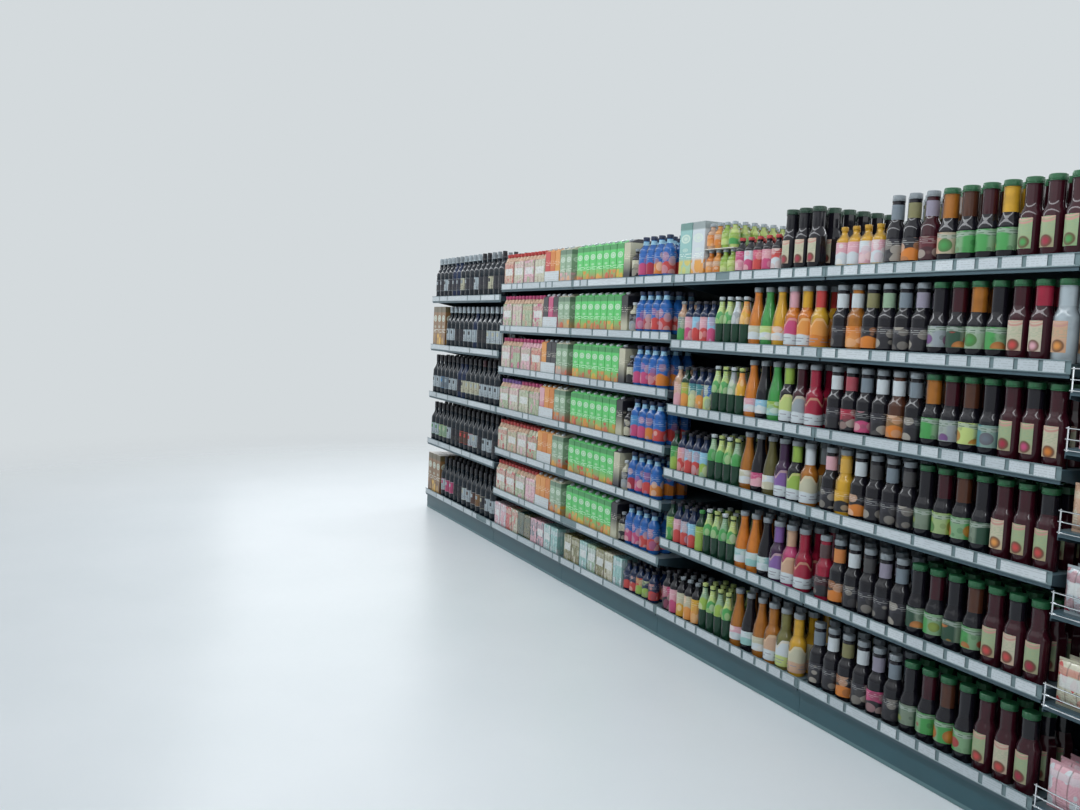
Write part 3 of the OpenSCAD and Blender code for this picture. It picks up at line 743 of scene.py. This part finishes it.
class Stack:
    """One mesh of many copies of shapes, each copy with its own colours."""

    def __init__(self, name):
        self.name = name
        self.co, self.faces, self.slots, self.uv = [], [], [], []
        self.tint, self.accent, self.seed, self.names = [], [], [], []

    def add(self, shape, at, paint, turned):
        """paint maps a part to (material, tint) or (material, tint, accent)."""
        c, s = math.cos(turned), math.sin(turned)
        first = len(self.co)
        self.co.extend((x * c - y * s + at[0], x * s + y * c + at[1], z + at[2])
                       for x, y, z in shape.co)
        self.faces.extend(tuple(n + first for n in face) for face in shape.faces)
        self.uv.extend(shape.uv)
        self.seed.extend([chance.random()] * len(shape.faces))
        for part in shape.parts:
            look = paint[part]
            if look[0] not in self.names:
                self.names.append(look[0])
            self.slots.append(self.names.index(look[0]))
            self.tint.append(look[1])
            self.accent.append(look[-1])

    def finish(self, slot, *replaced):
        mesh = bpy.data.meshes.new(self.name)
        mesh.from_pydata(self.co, [], self.faces, shade_flat=False)
        layer = mesh.uv_layers.new(name="print")
        layer.data.foreach_set("uv", np.array(self.uv, np.float32).ravel())
        for name in self.names:
            mesh.materials.append(MATERIALS[name])
        mesh.polygons.foreach_set("material_index", self.slots)
        for label, values in (("tint", self.tint), ("accent", self.accent)):
            colours = np.ones((len(values), 4), np.float32)
            colours[:, :3] = values
            attribute = mesh.attributes.new(label, "FLOAT_COLOR", "FACE")
            attribute.data.foreach_set("color", colours.ravel())
        attribute = mesh.attributes.new("seed", "FLOAT", "FACE")
        attribute.data.foreach_set("value", np.array(self.seed, np.float32))
        mesh.update()
        mesh.set_sharp_from_angle(angle=SHARP_OVER)
        piece = bpy.data.objects.new(self.name, mesh)
        bpy.context.collection.objects.link(piece)
        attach(piece, BODY)
        if replaced:
            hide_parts(*replaced)


def solids(node):
    """Lowest and highest corner of each separate solid of a CAD node."""
    mesh = NODES[node].data
    co = np.empty(len(mesh.vertices) * 3, np.float32)
    mesh.vertices.foreach_get("co", co)
    co = co.reshape(-1, 3)
    grid = np.round(co * WELD_GRID).astype(np.int64)
    merged = np.unique(grid, axis=0, return_inverse=True)[1].ravel()
    edges = np.empty(len(mesh.edges) * 2, np.int32)
    mesh.edges.foreach_get("vertices", edges)
    edges = merged[edges.reshape(-1, 2)]
    label = np.arange(merged.max() + 1)
    while True:
        lower = np.minimum(label[edges[:, 0]], label[edges[:, 1]])
        after = label.copy()
        np.minimum.at(after, edges[:, 0], lower)
        np.minimum.at(after, edges[:, 1], lower)
        after = after[after]
        if (after == label).all():
            break
        label = after
    island = label[merged]
    found = []
    for number in np.unique(island):
        corners = co[island == number]
        found.append((corners.min(0).astype(float), corners.max(0).astype(float)))
    return found


class Facing:
    """One modelled pack: the middle of its foot, its side of the run, row and size."""

    def __init__(self, low, high):
        self.x, self.y = (float(a + b) / 2 for a, b in zip(low[:2], high[:2]))
        self.z = float(low[2])
        self.rear = self.y > 0
        self.inward = -1 if self.rear else 1
        self.row = self.rear, round(self.z, 3)
        self.depth, self.height = (float(n) for n in (high - low)[1:])


def facings(node):
    """The packs of a node in order, each with its level and its rank along the row."""
    found = [Facing(low, high) for low, high in solids(node)]
    found.sort(key=lambda f: (f.row, f.x))
    levels = sorted({f.row[1] for f in found})
    rank, row = 0, None
    for f in found:
        rank = rank + 1 if f.row == row else 0
        row = f.row
        f.rank, f.level = rank, levels.index(row[1])
    return found


# Colours of the goods. A code names the colours of one item by letter

SHADES = {
    "k": "16151c", "m": "38101a", "M": "54121e", "b": "4c2c1e", "a": "a26626", "y": "c89a2e",
    "r": "962038", "R": "b83f3c", "o": "c4742a", "O": "d08c44", "g": "3f8e48", "G": "173c2a",
    "l": "8aa848", "L": "b2c276", "p": "b4446f", "P": "cc9ca6", "v": "775694", "V": "3a2240",
    "t": "3d7a7f", "T": "86b2ae", "n": "182848", "u": "84b4cc", "U": "265fa6", "s": "8a9398",
    "S": "a6b2b8", "w": "c0c9cd", "c": "b6b49c", "e": "bc9a80", "z": "66747f", "i": "837e90",
    "d": "5a5630", "D": "716e3e", "K": "24232b", "x": "7c5a34", "B": "3f80b4", "E": "86a386",
    "H": "1f5e38", "q": "93a47e", "j": "52be62", "N": "101c26",
}


def paints(**parts):
    """Part names to finishes, with screen colours turned into linear ones."""
    return {part: (look[0],) + tuple(colour(code) for code in look[1:])
            for part, look in parts.items()}


def bottle_look(kind, code):
    """The five letters are the glass, the label, its second colour, the cap and the neck.

    The last one colours the neck's glass. Under split and wine labels it colours the paper
    round the neck instead, where there is any.
    """
    glass, field, second, cap, wrap = (SHADES[letter] for letter in code)
    neck = glass if kind in ("split_label", "wine_label") else wrap
    return paints(glass=("filled_glass", glass), neck=("filled_glass", neck),
                  label=(kind, field, second), cap=("cap_plastic", cap),
                  wrap=("plain_paper", wrap))


def pack_look(kind, code):
    """The four letters are the board, its second colour, the top and the cap."""
    field, second, top, cap = (SHADES[letter] for letter in code)
    return paints(front=(kind, field, second), side=(kind, field, second),
                  top=("plain_paper", top), cap=("cap_plastic", cap))


def coded(look, kind, rows):
    """Rows hold the codes of one level, lowest level first, in order along the run.

    kind is the printed finish, or a function that gives it for a facing.
    """
    def finish(f):
        codes = rows[f.level % len(rows)].split()
        return look(kind(f) if callable(kind) else kind, codes[f.rank % len(codes)])
    return finish


# In these codes the mid grey S stands for white labels and caps darkened with painted shade
WINE_CODES = [
    "NSpks NpSks NpSks NkKks NkKks NScks NSbks NbSks NxSks NKcks NSkks NSkks",
    "NSgks NSgks NELks NEcks NSkks NkKks NkKks NbRks NbRks NSRks NScks NkKks NSkks NSkks NkKks",
    "NSkks NSkks NzBks NzSks NSkks NSkks nkKks ncKks NcSks NcSks NcSks NSmms NSkks NSkks NSkks",
    "NSkSs NSkSs NkKSs NKkSs NSkSs NSkSs nSsSs NkkSs NkkSs NScSs NScSs NScSs",
    "NKsSs NKsSs NSkSs NKsSs nKsss nKsss NcsSs NKsSs NKkSs NSkSs NKkks NKkks Nckss NKkss NKkks",
]
NECTAR_CODES = [
    "aewsa DwLsD ycesy kKksz kKksw kkosD kKksw kpksi kKksz",
    "Vvwsv pewse rrwsr rmksm kkoso kKksw kKksk kKksi kKksz",
    "VvwsV klwsl acwsw kKksP yyksy kkosw kKksk kKksz kKksk",
    "kLwsl mswsm rrwsr kKksw krksr kkpsz kKksw bxosw kKksz",
    "opwsP oOwsy yOosR kKksw aoOsw kkosD kKksE kKksz kKksi",
    "kKksz kkosD mMmsi",
]
FRUIT_CODES = [
    "kGlHk kgRHm kgoHb kgRHk",
    "kGRHk kglHm kGoHk kgRHb",
    "kGlHk klgHm kgoHb kGRHk",
    "kgdHa ksvHm kLoHb ktzHk",
    "ksvHk kGRHm kEgHa kgRHk",
    "kegHa kglHb kgGHm kgoHy",
]
TALL_CODES = ["mqRHm mcRHm mqrHk", "mqRHm mcRHk mqrHm", "mcOHm mqRHm mqRHk", "mqrHm mqpHk mcoHm",
              "mcRHm mcPHr SeOHS", "kcrGk kcrGk kcrGk mqgHm mqrHm mqgHm"]
SLIM_CODES = ["aPwsw kwTsw acwsw", "oTwsw owTsw kTwsw", "acwsw kpPsw dwcsw", "oPwsw kuwsw glTsw",
              "ocwsw gLwsw yOwsw"]
SODA_CODES = ["GElLw GLgLw GElLw GLgLw", "GLgww GLgLw GEgww GLgLw", "GEgww GLgLw GLgww GEgLw",
              "GLgww GLgLw GsEww GOyLw", "GLgww GLgww Gwsww GOyww"]
SMALL_CODES = [
    "nnRkw nnRkw nRlkw nnlkw nnRkw kpkkw kPpkw kcysw kcOsw kyOsw", "kcksw",
    "GlgKw nPRKw nuRKw nuRKw Gllgw", "cksww", "GglKw nPRKw nuRKw nuRKw nulKw", "kKcsw",
    "eePsw GlOKw ntLKw ntOKw nULKw", "kcksw", "eigsw nPpKw nuRKw nPRKw nupKw", "cksww",
    "kcksw kpPRw kwpRw kpRRw kPpRw kRwRw yPwyw yPwyw ywPyw yPwyw",
]
DRINK_CODES = ["UUpnu UUpnu UURnu UURnu", "UUrnu UUpnu UURnu UUonu", "UBpnu UUpnu UUonu UURnu",
               "UUpnu UUpnu UURnu UUonu", "UUpnu UUrnu UURnu UURnu", "UUpnu UUrnu UUonu UURnu"]
MINI_CODES = ["oeOSw OeoSw llLSw lLlSw", "eoOSw OeoSw llLSw LlgSw"]
TUB_CODES = ["wSPSw wSPSw wwsSw SwsSw wSzSw"]
BRICK_CODES = [
    "ERcw EOcw jRjw jOjw jyjw jRjw jojw jRjw jOjw", "EOcw ERcw jojw jRjw jRjw jOjw jRjw jyjw jRjw",
    "ERcw ERcw jRjw jRjw jojw jRjw jOjw jRjw jojw", "EPcw ERcw jOjw jRjw jRjw jyjw jRjw jojw jRjw",
    "ERcw EOcw jRjw jojw jRjw jRjw jRjw jOjw jRjw", "EPcw EPcw jRjw jojw jRjw jOjw jRjw jRjw jyjw",
]
NARROW_CODES = ["OoOw OoOw ooOw kcKw", "OoOw ooOw OoOw cKkw", "PROw OoOw ooOw kcKw",
                "OOow KkKw kKKw cKkw", "KKKw ppPw KpKw kcKw", "RROw oROw OyOw cKkw"]
MULTI_CODES = ["cReR cRcR qPeR PceR", "cReR eqeR cPeR qRcR", "qPev cPPv cqep qPep",
               "cPep qpep PqPp eRPp", "qPep cPep qeep cpep", "eReR cPeR PqeR cceR"]
SHORT_CODES = [
    "PwPw PwPw RcRw cRcw GdGw dGGw PzPw PzPw TwTw TwTw DcDw DcDw TwEw EwTw DcDw cDcw TwTw",
]
GIFT_CODES = ["xbxx xyxx xbxx"]
TOP_PACK_CODES = ["TLTw wOtw"]


# Dressing: every modelled pack gets its detailed shape, and rows stand behind it

ROW_GAP = 0.003
ROW_SHIFT = ROW_GAP * 0.6


def dress(name, node, slot, shapes, looks, axis_inside=True, spin=0.12):
    """Replaces a node of packs by detailed ones, with plainer rows behind them.

    The top shelf, which is seen from above, is filled to the back panel, and so are the
    open ends of the run.
    shapes(facing) gives the front shape and the plainer one, looks(facing) the finish.
    axis_inside says that the shapes stand round their own axis, as bottles do, and not
    with their front at y = 0.
    """
    stack = Stack(name)
    for f in facings(node):
        paint = looks(f)
        fine, plain = shapes(f)
        room = abs(f.y) - f.depth / 2 - POST_FACE
        step = f.depth + ROW_GAP
        behind = int(room / step)
        if f.z < TOP_SHELF_ABOVE and abs(f.x) < OPEN_END_FROM:
            behind = min(behind, ROWS_BEHIND)
        turn = math.pi if f.rear else 0.0
        y = f.y if axis_inside else f.y - f.inward * f.depth / 2
        for n in range(behind + 1):
            wobble = chance.uniform(-spin, spin)
            shift = chance.uniform(0, ROW_SHIFT) if n else 0
            stack.add(plain if n else fine, (f.x, y + f.inward * (n * step + shift), f.z),
                      paint, turn + wobble)
    stack.finish(slot, node)


def dress_each(look, table, **more):
    """Each row: piece, node, slot, printed finish, colour codes, and its shapes by facing."""
    for name, node, slot, kind, codes, shapes in table:
        dress(name, node, slot, shapes, coded(look, kind, codes), **more)


def both(**sizes):
    """The fine shape of the front row and the plain one of the rows behind."""
    return bottle(fine=True, **sizes), bottle(fine=False, **sizes)


def always(pair):
    return lambda f: pair


def finer_on_top(fine, plain, from_above):
    """The rows behind take another shape on the top shelf, which is seen from above."""
    return lambda f: (fine, from_above if f.z > TOP_SHELF_ABOVE else plain)


WRAP_ROUND = math.pi
FRONT_PATCH = math.radians(40)
WINE_PATCH = math.radians(80)
ARCHED_IN_A_ROW = 3
BOTTLE_TOP_LEVEL = 5
SQUASH_OVER = 0.17


def is_arched(f):
    """The far nectar bottles of each row below the top level have arched labels."""
    return f.rank < ARCHED_IN_A_ROW and f.level < BOTTLE_TOP_LEVEL


def dress_bottles():
    wine = both(radius=0.0375, height=0.298, body=0.58, neck=0.79, **WINE_TOP,
                label=(0.17, 0.46, WINE_PATCH))
    arched = both(**JUICE_BOTTLE, body=0.50, neck=0.66, **JUICE_TOP,
                  label=(0.06, 0.50, WRAP_ROUND))
    wrapped = both(**JUICE_BOTTLE, body=0.50, neck=0.66, **JUICE_TOP,
                   label=(0.07, 0.38, WRAP_ROUND), wrap=(0.655, 0.865))
    fruit = both(**JUICE_BOTTLE, body=0.43, neck=0.60, **WIDE_TOP,
                 label=(0.13, 0.41, WRAP_ROUND), groove=True)
    tall = both(**JUICE_BOTTLE, body=0.53, neck=0.68, **WIDE_TOP,
                label=(0.13, 0.50, FRONT_PATCH))
    slim = both(**JUICE_BOTTLE, body=0.36, neck=0.86, **SLIM_TOP,
                label=(0.12, 0.35, WRAP_ROUND))
    soda = both(radius=0.026, height=0.205, body=0.52, neck=0.86, **SMALL_TOP,
                label=(0.44, 0.90, WRAP_ROUND))
    small = both(radius=0.027, height=0.152, body=0.66, neck=0.85, **SMALL_TOP,
                 label=(0.10, 0.62, WRAP_ROUND))
    squash = both(radius=0.027, height=0.188, body=0.66, neck=0.86, **SMALL_TOP,
                  label=(0.05, 0.62, WRAP_ROUND))
    drink = both(radius=0.033, height=0.205, body=0.66, neck=0.85, **DRINK_TOP,
                 label=(0.10, 0.60, WRAP_ROUND), wrap=(0.80, 0.90))
    tub = both(radius=0.044, height=0.225, body=0.72, neck=0.86, **DRINK_TOP,
               label=(0.12, 0.62, WRAP_ROUND))
    mini = both(radius=0.024, height=0.112, body=0.60, neck=0.81, **SMALL_TOP,
                label=(0.12, 0.54, WRAP_ROUND))
    dress_each(bottle_look, [
        ("wine_bottle_rows", "wine_bottles", "dark_green_glass", "wine_label", WINE_CODES,
         always(wine)),
        ("nectar_bottle_rows", "nectar_bottles", "nectar_glass",
         lambda f: "arch_label" if is_arched(f) else "split_label", NECTAR_CODES,
         lambda f: arched if is_arched(f) else wrapped),
        ("fruit_bottle_rows", "fruit_bottles", "fruit_glass", "fruit_label", FRUIT_CODES,
         always(fruit)),
        ("tall_label_bottle_rows", "tall_label_bottles", "red_juice_glass", "tall_label",
         TALL_CODES, always(tall)),
        ("slim_bottle_rows", "slim_bottles", "orange_glass", "split_label", SLIM_CODES,
         always(slim)),
        ("soda_bottle_rows", "soda_bottles", "green_soda_plastic", "split_label", SODA_CODES,
         always(soda)),
        ("small_bottle_rows", "small_bottles", "red_label_plastic", "split_label", SMALL_CODES,
         lambda f: squash if f.height > SQUASH_OVER else small),
        ("drink_bottle_rows", "drink_bottles", "blue_drink_plastic", "split_label", DRINK_CODES,
         always(drink)),
        ("tub_rows", "tubs", "white_plastic", "split_label", TUB_CODES, always(tub)),
        ("miniature_bottle_tiers", "miniature_bottles", "yellow_plastic", "split_label",
         MINI_CODES, always(mini)),
    ])


# Width, depth and height of the packs
BRICK = 0.068, 0.088, 0.204
NARROW = 0.060, 0.088, 0.204
MULTIPACK = 0.146, 0.096, 0.198
SHORT = 0.088, 0.060, 0.150
GIFT_BOX = 0.084, 0.084, 0.298
TOP_PACK = 0.094, 0.094, 0.242
SHORT_BEVEL = 0.002


def dress_packs():
    dress_each(pack_look, [
        ("drink_carton_rows", "drink_cartons", "green_card", "carton_print", BRICK_CODES,
         always([carton(*BRICK, sides) for sides in CAP_SIDES])),
        ("narrow_carton_rows", "narrow_cartons", "orange_card", "faded_print", NARROW_CODES,
         always([carton(*NARROW, sides) for sides in CAP_SIDES])),
        ("multipack_rows", "multipacks", "multipack_card", "wrapped_print", MULTI_CODES,
         finer_on_top(bundle(*MULTIPACK), block(*MULTIPACK, bevel=FILM_BEVEL),
                      bundle(*MULTIPACK, sides=6))),
        ("short_pack_rows", "short_packs", "pale_green_card", "wrapped_print", SHORT_CODES,
         always([block(*SHORT, bevel=SHORT_BEVEL)] * 2)),
        ("gift_box_rows", "gift_boxes", "brown_card", "carton_print", GIFT_CODES,
         always([block(*GIFT_BOX)] * 2)),
        ("top_pack_rows", "top_packs", "teal_card", "carton_print", TOP_PACK_CODES,
         always([block(*TOP_PACK)] * 2)),
    ], axis_inside=False, spin=0.01)


PACKET_COLOURS = [("P", "w"), ("c", "R"), ("S", "r"), ("e", "c")]
PACKETS_ALIKE = 4


def packet_look(f):
    number = (f.level + f.rank // PACKETS_ALIKE) % len(PACKET_COLOURS)
    field, second = (SHADES[letter] for letter in PACKET_COLOURS[number])
    return paints(film=("wrapped_print", field, second), seam=("plain_paper", field))


def dress_packets():
    packets = [pillow(0.108, 0.138, 0.040, cells) for cells in (8, 3)]
    dress("packet_rows", "packets", "pink_film", always(packets), packet_look, spin=0.05)


# Tickets on the price strips, and cards at the foot of the narrow cartons

TICKET_WIDTH, TICKET_PITCH, TICKET_THICK = 0.067, 0.082, 0.0006
TICKET_BEVEL, TICKET_GAP, MISSING_SHARE = 0.0002, 0.0004, 0.02
TICKET_WHITES = "c2cbd0", "bcc5ca", "c8d0d4", "b6c0c5"
STRIP_WALL, STRIP_LIP, STRIP_END = 0.0012, 0.003, 0.012
CARD_WIDTH, CARD_HEIGHT, CARD_THICK, CARD_BEVEL = 0.185, 0.070, 0.0010, 0.0003
CARD_AHEAD, CARD_REACH = 0.004, 0.1
# How many neighbouring tickets run together, by bay
TICKET_RUNS = {"wine_price_strips": (2, 3, 3, 5, 5), "carton_price_strips": (1, 1, 2, 3, 5),
               "bottle_price_strips": (1, 1, 1, 1, 1, 1, 1, 2)}


def run_width(tickets):
    return TICKET_WIDTH + (tickets - 1) * TICKET_PITCH


def add_tickets():
    stack = Stack("shelf_tickets")
    height = STRIP_HEIGHT - 2 * (STRIP_WALL + TICKET_GAP)
    shapes = {n: block(run_width(n), TICKET_THICK, height, "ticket", "ticket", TICKET_BEVEL)
              for n in (1, 2, 3, 5)}
    for node, runs in TICKET_RUNS.items():
        for low, high in solids(node):
            rear = low[1] > 0
            turn = math.pi if rear else 0.0
            face = high[1] - STRIP_WALL if rear else low[1] + STRIP_WALL
            x, end = low[0] + STRIP_END, high[0] - STRIP_END
            bead = block(end - x, TICKET_THICK, STRIP_LIP, "bead", "bead", TICKET_BEVEL)
            edge = face + (TICKET_THICK if rear else -TICKET_THICK)
            stack.add(bead, ((x + end) / 2, edge, low[2] + STRIP_WALL),
                      paints(bead=("ticket_card", "b8c4c8", "b8c4c8")), turn)
            while x + TICKET_WIDTH < end:
                merged = chance.choice(runs)
                if x + run_width(merged) > end:
                    merged = 1
                if chance.random() > MISSING_SHARE:
                    white = chance.choice(TICKET_WHITES)
                    at = (x + run_width(merged) / 2, face, low[2] + STRIP_WALL + TICKET_GAP)
                    stack.add(shapes[merged], at,
                              paints(ticket=("ticket_card", white, "7d868a")), turn)
                x += merged * TICKET_PITCH
    stack.finish("strip_grey")


def add_shelf_cards():
    """A white card stands in front of each run of narrow cartons in the far carton bay."""
    stack = Stack("shelf_cards")
    card = block(CARD_WIDTH, CARD_THICK, CARD_HEIGHT, "card", "card", CARD_BEVEL)
    paint = paints(card=("ticket_card", "c6ced1", "a89a94"))
    rows = {}
    for f in facings("narrow_cartons"):
        rows.setdefault(f.row, []).append(f)
    for row in rows.values():
        f = row[1]
        near = [other.x for other in row if abs(other.x - f.x) < CARD_REACH]
        front = f.y - f.inward * (f.depth / 2 + CARD_AHEAD)
        stack.add(card, (sum(near) / len(near), front, f.z), paint, math.pi if f.rear else 0.0)
    stack.finish("strip_grey")


FRAME_FINISHES = {
    "charcoal_paint": ("posts", "base_legs", "back_panels", "cap_rails", "wine_brackets",
                       "carton_brackets", "bottle_brackets", "packet_brackets"),
    "slate_paint": ("base_shelves", "wine_shelves", "carton_shelves_far", "carton_shelves_near",
                    "bottle_shelves_far", "bottle_shelves_near", "packet_shelves"),
    "kick_paint": ("kick_plates",),
    "skirting_plastic": ("skirting_strips",),
    "strip_plastic": ("wine_price_strips", "carton_price_strips", "bottle_price_strips"),
    "foot_rubber": ("levelling_feet",),
    "plated_wire": ("wire_fences",),
    "tray_card": ("tier_trays",),
}


def finish_frame():
    """Gives the shown CAD nodes their finishes."""
    for name, nodes in FRAME_FINISHES.items():
        for node in nodes:
            for slot in NODES[node].material_slots:
                slot.material = MATERIALS[name]


# Floor, backdrop and light

FLOOR_REACH = 40
FLOOR_FADES = 3.0, 8.5
ROOM_TONE, ROOM_STRENGTH = (0.86, 0.92, 1.0, 1), 0.22
SOFT_WHITE, TUBE_WHITE = (0.96, 0.98, 1.0), (0.93, 0.97, 1.0)


def add_floor():
    """A pale floor that fades into the pale backdrop with distance."""
    mesh = bpy.data.meshes.new("shop_floor")
    r = FLOOR_REACH
    mesh.from_pydata([(-r, -r, 0), (r, -r, 0), (r, r, 0), (-r, r, 0)], [], [(0, 1, 2, 3)])
    floor = bpy.data.objects.new("shop_floor", mesh)
    bpy.context.collection.objects.link(floor)
    s = clouded("pale_floor", colour("d3dadd"), colour("e0e5e8"), (0.3, 0.42), 1.2, 3.0,
                Specular_IOR_Level=0.4)
    far = s.add("VectorMath", {0: s.place()}, operation="LENGTH").outputs["Value"]
    s.feed(s.surface["Alpha"], s.minus(1.0, s.rise(far, *FLOOR_FADES)))
    mesh.materials.append(MATERIALS["pale_floor"])


def add_backdrop():
    """A dim cool light all round, shown as a plain pale backdrop."""
    world = bpy.data.worlds.new("pale_room")
    bpy.context.scene.world = world
    world.use_nodes = True
    s = Shader(world.node_tree)
    light = world.node_tree.nodes["Background"]
    s.feed(light.inputs["Color"], ROOM_TONE)
    s.feed(light.inputs["Strength"], ROOM_STRENGTH)
    backdrop = s.add("Background", {"Color": colour("d4dadd") + (1,), "Strength": 1.0})
    rays = s.add("LightPath").outputs
    seen = s.math("MAXIMUM", rays["Is Camera Ray"],
                  s.math("MAXIMUM", rays["Is Glossy Ray"], rays["Is Transmission Ray"]))
    shown = s.add("MixShader", {0: seen, 1: light.outputs[0], 2: backdrop.outputs[0]})
    s.feed(world.node_tree.nodes["World Output"].inputs[0], shown.outputs[0])


def area_light(name, place, target, size, watts, tone=SOFT_WHITE):
    data = bpy.data.lights.new(name, "AREA")
    data.shape, data.size, data.size_y = "RECTANGLE", size[0], size[1]
    data.energy, data.color = watts, tone
    lamp = bpy.data.objects.new(name, data)
    lamp.location = place
    lamp.rotation_euler = (Vector(target) - Vector(place)).to_track_quat("-Z", "Y").to_euler()
    bpy.context.collection.objects.link(lamp)


def add_lights():
    area_light("overhead_soft_light", (0, 0, 6.5), (0, 0, 0), (26, 18), 700)
    for side, name in ((-1, "front"), (1, "rear")):
        area_light(name + "_tube_light", (0, side * 1.9, 3.0), (0, side * 0.6, 0.7),
                   (11, 0.35), 95, TUBE_WHITE)
        area_light(name + "_soft_light", (0, side * 5.0, 3.4), (0, side * 0.5, 0.9),
                   (11, 2.0), 45)
    for side, name in ((-1, "far"), (1, "near")):
        area_light(name + "_end_light", (side * 7.0, 0, 2.4), (0, 0, 0.9), (3.0, 3.0), 40)


bpy.context.scene.view_settings.view_transform = "Standard"
add_camera()
make_groups()
make_frame_finishes()
make_goods_finishes()
finish_frame()
dress_bottles()
dress_packs()
dress_packets()
add_tickets()
add_shelf_cards()
add_floor()
add_backdrop()
add_lights()
